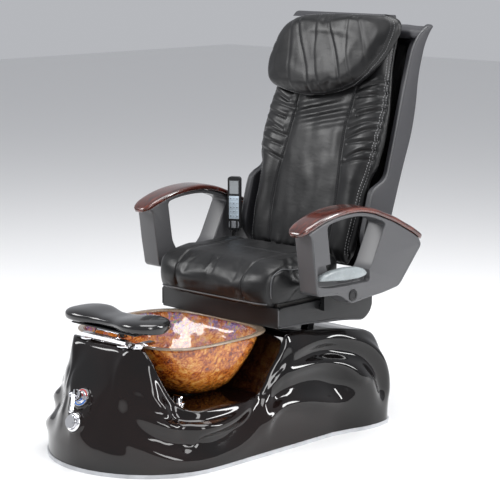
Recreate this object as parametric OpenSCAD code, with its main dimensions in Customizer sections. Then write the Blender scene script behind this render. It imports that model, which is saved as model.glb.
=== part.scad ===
// Pedicure spa chair: plumbing base with a glass bowl and footrest, and a reclining massage armchair.
// Millimetres. +X is the sitter's left, -Y the front, +Z up. The origin is on the floor, at the
// underside of the base frame's middle cross tube.

/* [Base] */
// Half width of the base at the floor, beside the bowl
base_half_w = 326; // [305:1:392]
// Length of the rounded nose, from its tip to the widest point
nose_l = 315; // [290:1:330]
// Half width of the base at its rear corners
rear_half_w = 360; // [330:1:432]
// Distance from the origin to the back of the base
rear_y = 412; // [395:1:430]
// Thickness of the moulded shell
shell_t = 6; // [5:0.2:8]
// Height of the ledge that the bowl stands on
dish_z = 190; // [160:1:200]
// Height of the front pedestal
pedestal_z = 385; // [370:1:395]
// Height of the hump under the seat, at its front edge
hump_z = 370; // [360:1:372]
// Fall of the hump towards the rear
hump_fall = 46; // [36:1:52]
// Height of the edge trim along the floor
trim_h = 12; // [8:1:16]

/* [Bowl] */
// Half width of the bowl at its rim
bowl_half_w = 275; // [230:1:280]
// Height of the rim
rim_z = 385; // [380:1:387]
// Thickness of the glass
glass_t = 7; // [5:0.2:8.4]
// Radius of the drain tail
drain_r = 22; // [18:0.2:26.4]
// Radius of the whirlpool jet's neck
jet_r = 31; // [26:0.2:37]

/* [Footrest] */
// Half length of the padded rest
foot_half_l = 205; // [170:1:246]
// Radius of the two posts
post_r = 11; // [9:0.2:13.2]
// Thickness of the padded rest
foot_t = 44; // [38:1:53]

/* [Seat] */
// Half width of the seat cushion
seat_half_w = 278; // [232:1:300]
// Thickness of the seat cushion
seat_t = 134; // [112:1:160]
// Width of a slide rail
rail_w = 40; // [34:1:48]
// Height of the skirt panels at the front
skirt_h = 72; // [60:1:76]

/* [Arms] */
// Width of an arm shell
arm_w = 76; // [64:1:90]
// Radius of the axle that an arm turns on
axle_r = 13; // [11:0.2:15.6]
// Thickness of the wooden pads
wood_t = 20; // [16:1:24]

/* [Back] */
// Half width of the back over its side shells
back_half_w = 292; // [244:1:304]
// Length of the back along its slope
back_l = 900; // [750:1:1080]
// Lean of the back when it is upright
lean = 16; // [12:1:20]
// Radius of the recline pins
pin_r = 8; // [6.6:0.2:9.6]

/* [Hand control] */
// Length of the hand control
remote_l = 190; // [160:1:228]
// Width of the hand control
remote_w = 46; // [38:1:48]
// Diameter of its cord
cord_d = 5; // [4:0.5:6]

/* [Hidden] */

run_fit = 0.06;      // radial clearance of a running fit
gap = 0.5;           // clearance between flat faces that slide
air = 3;             // clearance where pieces only pass each other
$fn = 48;

// Base places
widest_y = -450;
nose_y = widest_y - nose_l;
corner_y = 250;      // where the rear corners start to round
flare_y = 80;
corner_n = 3.5;
shoulder_z = 110;    // the sides stand upright up to here
shoulder_in = 42;
rear_in = 22;        // how much more the top draws in at the rear corners
ped_front_y = -655;
ped_rear_y = -600;
ped_half_w = 168;
hump_y = -105;       // front edge of the hump
hump_low_z = hump_z - hump_fall;

// Bowl places
bowl_y = -345;
bowl_n = 3.6;
bowl_foot_z = dish_z + 6;
flange_t = 8;
drain_at = [-75, bowl_y];
jet_at = [75, bowl_y];
pipe_z = 60;
pipe_r = 20;
stub_r = 10.5;
stub_x = [60, 110];
bowl_floor_z = bowl_foot_z + glass_t + 1;

// Front fittings: place along the nose, and lean of its face
faucet_z = 222;
faucet_y = nose_y + 42;
faucet_lean = 30;
diverter_z = 150;
diverter_y = nose_y + 11;
diverter_lean = 18;
boss_r = 31;
boss_h = 4;
lever_turn = 30;     // the mixer lever's place at rest, from straight down

drain_knob_at = [172, -478];

// Footrest places
post_x = 85;
post_y = -622;
tilt_y = -600;
tilt_z = 414;
tilt_r = 5;
foot_y = -575;
foot_z = 430;
lobe_r = 84;

// Seat heights, from the riser up
riser_z = hump_z + 3;
riser_t = 8;
rail_z = riser_z + riser_t;
rail_x = 130;
rail_h = 12;
rail_t = 3;
frame_z = rail_z + rail_h + 7;
skirt_z = 391;
skirt_t = 7;
deck_t = 12;
deck_z = skirt_z + skirt_h - 8;
cushion_z = deck_z + deck_t;
seat_front_y = -165;
seat_rear_y = 222;
skirt_half_w = seat_half_w - 6;
skirt_front_y = -126;
skirt_rear_y = 340;
beam_x = skirt_half_w - skirt_t - 20;

// Arms
arm_in = seat_half_w + 52;
arm_out = arm_in + arm_w;
pad_in = arm_in - 15;
pad_out = arm_out + 4;
hub_y = 85;
hub_z = 487;
hub_r = 27;
hanger_z = [422, 440];
lever_y = -50;
lever_z = 560;
lever_r = 4;
lever_w = 23;

// Back: its own frame starts at the recline pins and leans with it
hinge_y = 330;
hinge_z = 480;
lug_x = beam_x - 14;
cushion_front = -108;
cushion_back = -44;
cover_y = 26;
shell_in = back_half_w - 26;
rod_x = 62;
rod_y = -14;
rod_r = 6;
roller_y = -30;
roller_r = 10;
carriage_z = 420;
ram_arm = 48;
ram_z = hinge_z - ram_arm * cos(lean);

// Hand control
remote_x = -(seat_half_w + 4);
remote_y = 236;
remote_z = 604;
remote_t = 20;
remote_turn = 30;    // the face looks towards the sitter
stalk_x = remote_x - 17;
stalk_y = remote_y + 8;

// Route of the hand control's cord, from its strain relief down to the gland on the skirt
cord_points = [
    [-282, 236, 588], [-282, 236, 572], [-282, 236, 555], [-283, 236, 535], [-284, 236, 515],
    [-286, 236, 495], [-287, 236, 475], [-288, 237, 457], [-288, 241, 440], [-288, 248, 429],
    [-288, 258, 425], [-288, 269, 428], [-288, 277, 437], [-288, 280, 449]
];

// ---- helpers ----

function clamp01(t) = max(0, min(1, t));
function ease(t) = let (c = clamp01(t)) c * c * (3 - 2 * c);

// Closed solid through rings of equal length; rings run counter-clockwise seen from the last one
module loft(rings) {
    n = len(rings[0]);
    last = len(rings) - 1;
    sides = [
        for (k = [0 : last - 1], j = [0 : n - 1])
            let (a = k * n + j, b = k * n + (j + 1) % n)
                each [[a, a + n, b + n], [a, b + n, b]]
    ];
    low = [for (j = [0 : n - 1]) j];
    high = [for (j = [n - 1 : -1 : 0]) last * n + j];
    polyhedron([for (r = rings) each r], concat(sides, [low, high]), convexity = 6);
}

// Extrudes an outline drawn as (y, z) along X
module along_x(x0, x1) {
    translate([x0, 0, 0]) rotate([90, 0, 90]) linear_extrude(x1 - x0) children();
}

module both_sides() {
    children();
    mirror([1, 0, 0]) children();
}

// A bar along X
module x_rod(r, x0, x1, y, z) {
    translate([x0, y, z]) rotate([0, 90, 0]) cylinder(r = r, h = x1 - x0);
}

// A bar along Y
module y_rod(r, y0, y1, x, z) {
    translate([x, y0, z]) rotate([-90, 0, 0]) cylinder(r = r, h = y1 - y0);
}

module block(x, y, z) {
    translate([x[0], y[0], z[0]]) cube([x[1] - x[0], y[1] - y[0], z[1] - z[0]]);
}

module in_back() {
    translate([0, hinge_y, hinge_z]) rotate([-lean, 0, 0]) children();
}

// Stands children on the nose, with +Z along the face's outward normal
module on_nose(y, z, face_lean) {
    translate([0, y, z]) rotate([90 - face_lean, 0, 0]) children();
}

// ---- base ----

function base_w(y) =
    y < widest_y ? base_half_w * sqrt(max(0, 1 - pow((widest_y - y) / nose_l, 2))) :
    y < corner_y ? base_half_w + (rear_half_w - base_half_w) * ease((y - flare_y) / (corner_y - flare_y)) :
    rear_half_w * pow(max(0, 1 - pow((y - corner_y) / (rear_y - corner_y), corner_n)), 1 / corner_n);

// Height of the shell's centre line along Y
crest_line = [
    [nose_y, 118], [nose_y + 18, 172], [nose_y + 40, faucet_z - 6], [nose_y + 62, 256],
    [nose_y + 88, 308], [ped_front_y, pedestal_z - 12], [ped_front_y + 10, pedestal_z],
    [ped_rear_y, pedestal_z], [ped_rear_y + 8, pedestal_z - 38], [ped_rear_y + 25, pedestal_z - 95],
    [ped_rear_y + 45, dish_z + 50], [ped_rear_y + 66, dish_z + 12], [ped_rear_y + 85, dish_z],
    [hump_y - 120, dish_z], [hump_y - 106, dish_z + 12], [hump_y - 84, dish_z + 46],
    [hump_y - 50, dish_z + 88], [hump_y - 18, hump_z - 52], [hump_y - 6, hump_z - 16],
    [hump_y, hump_z], [hump_y + 255, hump_z - 22], [hump_y + 375, hump_low_z + 4],
    [hump_y + 435, hump_low_z - 18], [rear_y - 52, hump_low_z - 42], [rear_y - 30, hump_low_z - 80],
    [rear_y - 12, hump_low_z - 128], [rear_y, hump_low_z - 168]
];
// Half width of the shell's top on the pedestal
neck_line = [
    [nose_y, 22], [nose_y + 38, 62], [nose_y + 85, 100], [ped_front_y, 122],
    [ped_front_y + 38, ped_half_w], [ped_rear_y, ped_half_w + 8], [ped_rear_y + 45, ped_half_w + 48],
    [ped_rear_y + 100, base_half_w - shoulder_in - 4]
];
function crest(y) = lookup(y, crest_line);
function top_w(y) =
    y < ped_rear_y + 100 ? min(lookup(y, neck_line), base_w(y) - 2) : max(base_w(y) - shoulder_in - rear_in * ease((y - 150) / 160), 20);

base_stations = [
    nose_y + 1, nose_y + 6, nose_y + 18, nose_y + 38, nose_y + 60, nose_y + 85, ped_front_y,
    ped_front_y + 10, ped_front_y + 38, ped_rear_y, ped_rear_y + 8, ped_rear_y + 25, ped_rear_y + 45,
    ped_rear_y + 66, ped_rear_y + 100, widest_y, -330, hump_y - 120, hump_y - 106, hump_y - 84,
    hump_y - 50, hump_y - 18, hump_y - 6, hump_y, 0, flare_y, hump_y + 255, 210, hump_y + 375,
    hump_y + 435, rear_y - 52, rear_y - 30, rear_y - 12, rear_y - 5, rear_y - 0.5
];
levels = [0.15, 0.3, 0.45, 0.6, 0.75, 0.88, 0.96];

// One cross ring of the base; "in" moves every wall inwards
function base_ring(y, in) =
    let (
        h = min(crest(y), crest(y - in), crest(y + in)) - in,
        w = max(base_w(y) - in, 4),
        wt = max(min(top_w(y), w) - in, 2),
        concave = 1 - ease((y - ped_rear_y - 30) / 70),
        z0 = min(shoulder_z - 50 * concave, 0.6 * h),
        side = concat(
            [[w, in > 0 ? -1 : 0], [w, trim_h], [w, z0]],
            [for (t = levels) [
                wt + (w - wt) * (concave * (1 - ease(t)) + (1 - concave) * (1 - t * t)),
                z0 + (h - z0) * t
            ]],
            [[max(wt - 8, 1), h]]
        )
    )
    concat(
        [for (p = side) [-p[0], y, p[1]]],
        [for (i = [len(side) - 1 : -1 : 0]) [side[i][0], y, side[i][1]]]
    );

panel_half_w = 129;
panel_z = [88, 172];
top_opening = [[-150, 150], [-40, 220]];

// Plinths that the front fittings stand on
module nose_bosses() {
    for (f = [[faucet_y, faucet_z, faucet_lean], [diverter_y, diverter_z, diverter_lean]])
        hull() on_nose(f[0], f[1], f[2])
            translate([0, 0, -shell_t - 10]) cylinder(r = boss_r, h = shell_t + 10 + boss_h);
}

// Every hole through the shell: each entry of a fitting, pipe, post or neck
module shell_holes() {
    hull() on_nose(faucet_y, faucet_z, faucet_lean) translate([0, 0, -60]) cylinder(r = 18, h = 90);
    hull() on_nose(diverter_y, diverter_z, diverter_lean) translate([0, 0, -60]) cylinder(r = 8, h = 90);
    for (h = [[drain_at, drain_r + air], [jet_at, jet_r + air], [drain_knob_at, 8]])
        hull() translate([h[0][0], h[0][1], dish_z - 20]) cylinder(r = h[1], h = 40);
    for (s = [-1, 1])
        hull() translate([s * post_x, post_y, pedestal_z - 50]) cylinder(r = post_r + 7 + air, h = 70);
    for (p = concat([[drain_at[0], pipe_r]], [for (x = stub_x) [x, stub_r]]))
        hull() y_rod(p[1] + 2, rear_y - 30, rear_y + 10, p[0], pipe_z);
    block(top_opening[0], top_opening[1], [hump_low_z - 60, hump_z + 20]);
    block([-panel_half_w - 1, panel_half_w + 1], [rear_y - 30, rear_y + 10], [panel_z[0] - 1, panel_z[1] + 1]);
}

module base_shell() {
    inner_first = nose_y + shell_t + 3;
    color([0.07, 0.06, 0.06]) difference() {
        union() {
            difference() {
                loft([for (y = base_stations) base_ring(y, 0)]);
                loft([
                    for (y = base_stations)
                        if (y > inner_first && y < rear_y - shell_t) base_ring(y, shell_t)
                ]);
            }
            nose_bosses();
        }
        shell_holes();
    }
}

base_outline = concat(
    [for (y = base_stations) [-base_w(y), y]],
    [for (i = [len(base_stations) - 1 : -1 : 0]) [base_w(base_stations[i]), base_stations[i]]]
);

module base_trim() {
    color([0.75, 0.75, 0.76]) linear_extrude(trim_h) difference() {
        offset(delta = 4) polygon(base_outline);
        offset(delta = 0.2) polygon(base_outline);
    }
}

frame_tube = 30;
frame_x = 200;
frame_posts_y = [0, 185];
frame_post_x = 120;

module base_frame() {
    color("dimgray") {
        difference() {
            union() {
                both_sides() block([frame_x - frame_tube/2, frame_x + frame_tube/2], [-520, 335], [0, frame_tube]);
                for (y = concat([-420, 300], frame_posts_y))
                    block([-frame_x, frame_x], [y - frame_tube/2, y + frame_tube/2], [0, frame_tube]);
            }
        }
        both_sides() for (y = frame_posts_y)
            block([frame_post_x - 15, frame_post_x + 15], [y - 15, y + 15], [frame_tube, riser_z]);
    }
}

module access_panel() {
    color([0.08, 0.07, 0.07]) difference() {
        block([-panel_half_w, panel_half_w], [rear_y - 12, rear_y + 1], panel_z);
        block([-panel_half_w + 4, panel_half_w - 4], [rear_y - 20, rear_y - 3], [panel_z[0] + 4, panel_z[1] - 4]);
        panel_corners() cylinder(r = 2.6, h = 60, center = true);
    }
}

module panel_corners() {
    for (x = [-1, 1], z = panel_z)
        translate([x * (panel_half_w - 12), rear_y - 2, z == panel_z[0] ? z + 12 : z - 12])
            rotate([-90, 0, 0]) children();
}

module panel_screws() {
    color("silver") panel_corners() {
        translate([0, 0, -12]) cylinder(r = 2.3, h = 15);
        translate([0, 0, 3]) cylinder(r = 5, h = 2.6);
    }
}

module riser_plate() {
    color("dimgray") block([-170, 170], [-75, 285], [riser_z, rail_z]);
}

// ---- bowl and plumbing ----

// Outer form of the bowl: height, half width, front and rear places
bowl_form = [
    [bowl_foot_z, bowl_half_w * 0.51, -405, -245], [bowl_foot_z + 10, bowl_half_w * 0.625, -430, -232],
    [bowl_foot_z + 44, bowl_half_w * 0.77, -478, -212], [bowl_foot_z + 94, bowl_half_w * 0.873, -530, -172],
    [rim_z - 35, bowl_half_w * 0.93, -566, -128], [rim_z - flange_t, bowl_half_w * 0.953, -578, -116]
];
rim_form = [rim_z, bowl_half_w, -588, -95];

function bowl_ring(f, in, z) =
    let (cy = (f[2] + f[3]) / 2, a = f[1] - in, b = (f[3] - f[2]) / 2 - in)
    [for (k = [0 : 43]) let (t = k * 360 / 44, c = cos(t), s = sin(t)) [
        a * sign(c) * pow(abs(c), 2 / bowl_n), cy + b * sign(s) * pow(abs(s), 2 / bowl_n), z
    ]];

module bowl() {
    wall = [for (i = [1 : len(bowl_form) - 1]) bowl_form[i]];
    last = bowl_form[len(bowl_form) - 1];
    color([0.85, 0.5, 0.12, 0.8]) difference() {
        union() {
            loft([for (f = bowl_form) bowl_ring(f, 0, f[0])]);
            loft([bowl_ring(rim_form, 0, rim_z - flange_t), bowl_ring(rim_form, 0, rim_z)]);
        }
        loft(concat(
            [bowl_ring(bowl_form[0], glass_t - 3, bowl_floor_z)],
            [for (f = wall) if (f[0] > bowl_floor_z + 4) bowl_ring(f, glass_t, f[0])],
            [bowl_ring(last, glass_t, rim_z + 2)]
        ));
        translate([drain_at[0], drain_at[1], 0]) cylinder(r = drain_r + 0.5, h = 300);
        translate([jet_at[0], jet_at[1], 0]) cylinder(r = jet_r + 0.5, h = 300);
    }
}

module bowl_gasket() {
    color("black") difference() {
        translate([0, bowl_y + 20, dish_z]) linear_extrude(bowl_foot_z - dish_z) square([236, 134], center = true);
        translate([0, bowl_y + 20, dish_z - 1]) linear_extrude(20) square([218, 116], center = true);
    }
}

module drain_body() {
    color("silver") translate([drain_at[0], drain_at[1], 0]) {
        rotate_extrude() polygon([
            [drain_r - 4, 120], [drain_r, 120], [drain_r, bowl_floor_z], [drain_r + 8, bowl_floor_z],
            [drain_r + 8, bowl_floor_z + 3], [drain_r - 4, bowl_floor_z + 3]
        ]);
        difference() {
            union() {
                translate([0, 0, 150]) cylinder(r = 8, h = 12);
                for (a = [0, 120, 240]) rotate([0, 0, a]) block([0, drain_r - 3], [-2, 2], [150, 162]);
            }
            translate([0, 0, 140]) cylinder(r = 4 + run_fit, h = 40);
        }
    }
}

module drain_stopper() {
    color("silver") translate([drain_at[0], drain_at[1], 0]) {
        translate([0, 0, bowl_floor_z + 3.4]) cylinder(r = drain_r + 3, h = 4);
        translate([0, 0, 140]) cylinder(r = 4, h = bowl_floor_z + 3.4 - 140);
    }
}

module drain_pipe() {
    color("white") difference() {
        union() {
            translate([drain_at[0], drain_at[1], pipe_z]) cylinder(r = drain_r, h = 120 - pipe_z);
            translate([drain_at[0], drain_at[1], pipe_z]) sphere(r = drain_r);
            y_rod(pipe_r - 1.5, drain_at[1], rear_y + 3, drain_at[0], pipe_z);
            y_rod(pipe_r, rear_y + 3, rear_y + 28, drain_at[0], pipe_z);
        }
        translate([drain_at[0], drain_at[1], pipe_z]) cylinder(r = drain_r - 4, h = 100);
        y_rod(pipe_r - 4, drain_at[1], rear_y + 40, drain_at[0], pipe_z);
    }
}

module water_stubs() {
    color("orange") for (x = stub_x) difference() {
        y_rod(stub_r, 230, rear_y + 28, x, pipe_z);
        y_rod(stub_r - 2, 229, rear_y + 40, x, pipe_z);
    }
}

jet_top_z = bowl_floor_z + 22;

module jet_housing() {
    cage = jet_r + 11;
    color("silver") translate([jet_at[0], jet_at[1], 0]) difference() {
        rotate_extrude() polygon([
            [jet_r - 4, 150], [jet_r, 150], [jet_r, bowl_floor_z], [cage, bowl_floor_z],
            [cage, jet_top_z - 4], [cage - 4, jet_top_z], [0, jet_top_z], [0, jet_top_z - 4],
            [cage - 4, jet_top_z - 4], [cage - 4, bowl_floor_z + 4], [jet_r - 4, bowl_floor_z + 4]
        ]);
        for (k = [0 : 9]) rotate([0, 0, k * 36])
            translate([jet_r - 8, 0, jet_top_z - 10]) cylinder(r = 4.5, h = 20);
    }
}

module jet_motor() {
    color("dimgray") translate([jet_at[0], jet_at[1], 0]) difference() {
        union() {
            translate([0, 0, 92]) cylinder(r = jet_r + 9, h = 58);
            translate([0, 0, 150]) cylinder(r = 8, h = 8);
        }
        translate([0, 0, 130]) cylinder(r = 3 + run_fit, h = 40);
    }
}

module jet_impeller() {
    color("white") translate([jet_at[0], jet_at[1], 0]) {
        translate([0, 0, 134]) cylinder(r = 3, h = bowl_floor_z + 2 - 134);
        translate([0, 0, bowl_floor_z + 2]) cylinder(r = 7, h = 12);
        for (k = [0 : 4]) rotate([0, 0, k * 72])
            block([5, jet_r - 6], [-1.2, 1.2], [bowl_floor_z + 2, bowl_floor_z + 14]);
    }
}

spout_x = 136;

module fill_spout() {
    color("silver") {
        translate([spout_x, ped_rear_y - 12, pedestal_z]) cylinder(r = 16, h = 3);
        translate([spout_x, ped_rear_y - 12, pedestal_z + 3]) cylinder(r = 9, h = 10);
        block([spout_x - 11, spout_x + 11], [ped_rear_y - 12, ped_rear_y + 50], [pedestal_z + 4, pedestal_z + 13]);
    }
}

// ---- front fittings ----

module faucet_escutcheon() {
    color("silver") on_nose(faucet_y, faucet_z, faucet_lean) translate([0, 0, boss_h]) difference() {
        cylinder(r = 29, h = 4);
        translate([0, 0, -1]) cylinder(r = 16.5, h = 6);
    }
}

module faucet_body() {
    color("silver") on_nose(faucet_y, faucet_z, faucet_lean) translate([0, 0, -45]) cylinder(r = 16, h = 69);
}

module faucet_turret() {
    color("silver") on_nose(faucet_y, faucet_z, faucet_lean) rotate([0, 0, lever_turn]) {
        translate([0, 0, 24.5]) cylinder(r = 18, h = 7);
        difference() {
            for (s = [-1, 1]) translate([s * 10 - 2.5, -9, 31.5]) cube([5, 18, 18]);
            x_rod(3 + run_fit, -20, 20, 0, 40);
        }
    }
}

module faucet_lever() {
    color("silver") on_nose(faucet_y, faucet_z, faucet_lean) rotate([0, 0, lever_turn]) {
        x_rod(7, -7, 7, 0, 40);
        x_rod(3, -13, 13, 0, 40);
        hull() {
            translate([0, -6, 40]) sphere(r = 6.6, $fn = 24);
            translate([0, -62, 52]) scale([1.5, 1, 0.6]) sphere(r = 6.5, $fn = 24);
        }
    }
}

module diverter_escutcheon() {
    color("silver") on_nose(diverter_y, diverter_z, diverter_lean) translate([0, 0, boss_h]) difference() {
        cylinder(r = 28, h = 4);
        translate([0, 0, -1]) cylinder(r = 5 + run_fit, h = 6);
    }
}

module diverter_knob() {
    color("silver") on_nose(diverter_y, diverter_z, diverter_lean) {
        translate([0, 0, -20]) cylinder(r = 5, h = 30);
        translate([0, 0, boss_h + 4.4]) cylinder(r = 21, h = 14);
        translate([-16, -4, boss_h + 18.4]) cube([32, 8, 5]);
    }
}

module drain_escutcheon() {
    color("silver") translate([drain_knob_at[0], drain_knob_at[1], dish_z]) difference() {
        cylinder(r = 20, h = 4);
        translate([0, 0, -1]) cylinder(r = 4 + run_fit, h = 6);
    }
}

module drain_knob() {
    color("silver") translate([drain_knob_at[0], drain_knob_at[1], dish_z]) {
        translate([0, 0, -30]) cylinder(r = 4, h = 40);
        translate([0, 0, 4.4]) cylinder(r = 15, h = 16);
        translate([-17, -3, 20.4]) cube([34, 6, 5]);
    }
}

// ---- footrest ----

module footrest_sleeves() {
    color("silver") both_sides() translate([post_x, post_y, 0]) difference() {
        union() {
            translate([0, 0, pedestal_z - 130]) cylinder(r = post_r + 5, h = 130);
            translate([0, 0, pedestal_z]) cylinder(r = post_r + 13, h = 3);
        }
        translate([0, 0, pedestal_z - 131]) cylinder(r = post_r + run_fit, h = 140);
    }
}

bar_z = pedestal_z + 7;

module footrest_posts() {
    color([0.85, 0.72, 0.68]) both_sides() translate([post_x, post_y, pedestal_z - 118]) cylinder(r = post_r, h = bar_z - pedestal_z + 118);
}

module footrest_bracket() {
    color("silver") difference() {
        union() {
            block([-post_x - 18, post_x + 18], [post_y - 13, post_y + 13], [bar_z, bar_z + 10]);
            both_sides() along_x(50, 56) polygon([
                [post_y - 8, bar_z + 10], [post_y - 8, bar_z + 2], [tilt_y + 12, bar_z + 2],
                [tilt_y + 12, tilt_z + 10], [tilt_y - 10, tilt_z + 10]
            ]);
        }
        x_rod(tilt_r, -80, 80, tilt_y, tilt_z);
    }
    color("silver") x_rod(tilt_r, -66, 66, tilt_y, tilt_z);
}

module footrest_plate() {
    color("dimgray") difference() {
        union() {
            block([-150, 150], [foot_y - 60, foot_y + 60], [foot_z - 4, foot_z]);
            both_sides() block([56 + gap, 62 + gap], [tilt_y - 10, tilt_y + 10], [tilt_z - 9, foot_z - 4]);
        }
        x_rod(tilt_r + run_fit, -80, 80, tilt_y, tilt_z);
    }
}

module footrest_pad() {
    color([0.05, 0.05, 0.05]) translate([0, foot_y, foot_z]) {
        both_sides() translate([foot_half_l - lobe_r, 0, 0]) hull() {
            translate([0, 0, 7]) cylinder(r = lobe_r, h = foot_t - 15, $fn = 32);
            cylinder(r = lobe_r - 10, h = foot_t, $fn = 32);
        }
        block([lobe_r - foot_half_l, foot_half_l - lobe_r], [-62, 62], [0, foot_t - 12]);
    }
}

// ---- seat ----

module lower_rails() {
    lip = 6;
    color("gray") both_sides() translate([rail_x, -66, rail_z]) rotate([90, 0, 180])
        linear_extrude(350) polygon([
            [-rail_w/2, 0], [rail_w/2, 0], [rail_w/2, rail_h], [rail_w/2 - lip - rail_t, rail_h],
            [rail_w/2 - lip - rail_t, rail_h - rail_t], [rail_w/2 - rail_t, rail_h - rail_t],
            [rail_w/2 - rail_t, rail_t], [-rail_w/2 + rail_t, rail_t],
            [-rail_w/2 + rail_t, rail_h - rail_t], [-rail_w/2 + lip + rail_t, rail_h - rail_t],
            [-rail_w/2 + lip + rail_t, rail_h], [-rail_w/2, rail_h]
        ]);
}

module upper_rails() {
    foot = rail_w/2 - rail_t - gap;
    neck = rail_w/2 - rail_t - 6 - gap;
    color("silver") both_sides() for (z = [0]) {
        block([rail_x - foot, rail_x + foot], [-15, 220], [rail_z + rail_t + gap, rail_z + rail_h - rail_t - gap]);
        block([rail_x - neck, rail_x + neck], [-15, 220], [rail_z + rail_h - rail_t - gap, frame_z]);
    }
}

module seat_frame() {
    ear = 26;
    color("dimgray") difference() {
        union() {
            both_sides() block([beam_x, beam_x + 18], [skirt_front_y + 14, skirt_rear_y - 10], [frame_z, deck_z]);
            for (y = [skirt_front_y + 14, 100, 200])
                block([-beam_x - 1, beam_x + 1], [y, y + 18], [frame_z, frame_z + 16]);
            both_sides() along_x(beam_x + 2, beam_x + 12) polygon([
                [hinge_y - ear, deck_z - 20], [hinge_y + ear - 16, deck_z - 20],
                [hinge_y + ear - 4, hinge_z], [hinge_y + 12, hinge_z + 20],
                [hinge_y - 12, hinge_z + 20], [hinge_y - ear, hinge_z]
            ]);
        }
        x_rod(pin_r, -beam_x - 30, beam_x + 30, hinge_y, hinge_z);
    }
}

module seat_deck() {
    color("burlywood") block([-beam_x - 14, beam_x + 14], [skirt_front_y + 10, seat_rear_y + 20], [deck_z, cushion_z]);
}

module seat_cushion() {
    r = 34;
    color([0.06, 0.06, 0.06]) hull() {
        for (x = [-1, 1], y = [seat_front_y + r, seat_rear_y - r]) {
            translate([x * (seat_half_w - r), y, cushion_z + 0.4]) cylinder(r = r - 8, h = 20, $fn = 32);
            translate([x * (seat_half_w - r), y, cushion_z + 20]) cylinder(r = r, h = seat_t - 46, $fn = 32);
            translate([x * (seat_half_w - r), y, cushion_z + seat_t - 30]) cylinder(r = r - 12, h = 30, $fn = 32);
        }
    }
}

// Side view of a side skirt, as (y, z)
skirt_side = [
    [skirt_front_y, skirt_z], [20, skirt_z], [200, skirt_z - 17], [skirt_rear_y - 40, skirt_z - 28],
    [skirt_rear_y, skirt_z + 6], [skirt_rear_y, skirt_z + skirt_h - 26], [skirt_rear_y - 50, skirt_z + skirt_h - 9],
    [skirt_front_y, skirt_z + skirt_h - 9]
];

module skirt_panels() {
    color([0.1, 0.1, 0.1]) difference() {
        union() {
            both_sides() along_x(skirt_half_w - skirt_t, skirt_half_w) polygon(skirt_side);
            block([-skirt_half_w, skirt_half_w], [skirt_front_y, skirt_front_y + skirt_t], [skirt_z, skirt_z + skirt_h - 9]);
            block([-skirt_half_w, skirt_half_w], [skirt_rear_y - skirt_t, skirt_rear_y], [skirt_z + 10, skirt_z + skirt_h - 31]);
        }
        block(
            [-skirt_half_w - 10, skirt_half_w + 10],
            [hub_y - 15 - air, hub_y + 15 + air], [hanger_z[0] - air, hanger_z[1] + air]
        );
    }
}

module arm_axles() {
    bracket_x = seat_half_w + 8;
    color("gray") both_sides() {
        block([beam_x + 18, bracket_x + 14], [hub_y - 15, hub_y + 15], [hanger_z[0], hanger_z[1]]);
        block([bracket_x, bracket_x + 14], [hub_y - 20, hub_y + 20], [hanger_z[0], hub_z + 20]);
        x_rod(axle_r, bracket_x, arm_out - 12, hub_y, hub_z);
    }
}

module recline_pins() {
    color("silver") both_sides() x_rod(pin_r, lug_x - 4, beam_x + 14, hinge_y, hinge_z);
}

ram_tip_y = hinge_y - ram_arm * sin(lean);

module actuator_body() {
    color("dimgray") difference() {
        union() {
            y_rod(17, 60, 218, 0, ram_z);
            for (y = [102, 202]) block([-14, 14], [y, y + 14], [frame_z + 16, ram_z - 10]);
        }
        y_rod(8 + run_fit, 80, 260, 0, ram_z);
    }
}

module actuator_rod() {
    color("silver") {
        y_rod(8, 130, ram_tip_y - 18, 0, ram_z);
        block([-6, 6], [ram_tip_y - 18, ram_tip_y + 6], [ram_z - 9, ram_z + 9]);
    }
}

// ---- arms ----

// Side view of the top of an arm shell, from front to rear, as (y, z)
arm_top = [
    [-128, 710], [-100, 722], [-57, 737], [-8, 748], [38, 754], [90, 756], [136, 753], [190, 741],
    [237, 724], [290, 704], [341, 679], [385, 657], [424, 633]
];

module arm_outline() {
    polygon(concat(arm_top, [
        [434, 614], [430, 602], [330, 494], [316, 484], [240, 473], [140, 466], [hub_y + 12, hub_z - hub_r + 1],
        [hub_y - 8, hub_z - hub_r + 1], [hub_y - 24, hub_z - 15], [20, 496], [-76, 504], [-86, 514], [-114, 700]
    ]));
}

module arm_window() {
    polygon([
        [-40, 728], [-20, 590], [4, 552], [44, 528], [112, 526], [150, 544], [180, 572], [246, 702],
        [236, 712], [190, 729], [136, 741], [90, 744], [38, 742], [-8, 736]
    ]);
}

module arm_shell(s) {
    color([0.09, 0.09, 0.1]) mirror([s < 0 ? 1 : 0, 0, 0]) difference() {
        along_x(arm_in, arm_out) difference() {
            arm_outline();
            arm_window();
        }
        x_rod(axle_r + run_fit, arm_in - 1, arm_out - 10, hub_y, hub_z);
        if (s > 0) {
            block([arm_out - lever_w - 2, arm_out + 1], [-84, 166], [524, 604]);
            x_rod(lever_r, arm_in + 20, arm_out + 1, lever_y, lever_z);
        }
    }
}

module arm_shell_left() arm_shell(1);
module arm_shell_right() arm_shell(-1);

// Plan of a wooden pad, as (x, y)
module pad_plan() {
    w = pad_out - pad_in;
    hull() {
        translate([pad_in + w * 0.42, -116]) circle(r = w * 0.40);
        translate([pad_out - w * 0.30, -124]) circle(r = w * 0.30);
        translate([pad_in + 12, 60]) square([w - 12, 20]);
        translate([pad_out - 62, 440]) square([60, 6]);
        translate([pad_in + 40, 436]) circle(r = 12);
    }
}

module arm_pad(s) {
    band = concat(
        [[-156, 702]], arm_top, [[446, 620]],
        [[452, 632], [430, 650]],
        [for (i = [len(arm_top) - 2 : -1 : 0]) [arm_top[i][0], arm_top[i][1] + wood_t]],
        [[-146, 708 + wood_t], [-158, 718]]
    );
    color([0.28, 0.08, 0.05]) mirror([s < 0 ? 1 : 0, 0, 0]) intersection() {
        along_x(pad_in, pad_out) polygon(band);
        translate([0, 0, 500]) linear_extrude(400) pad_plan();
    }
}

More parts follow.
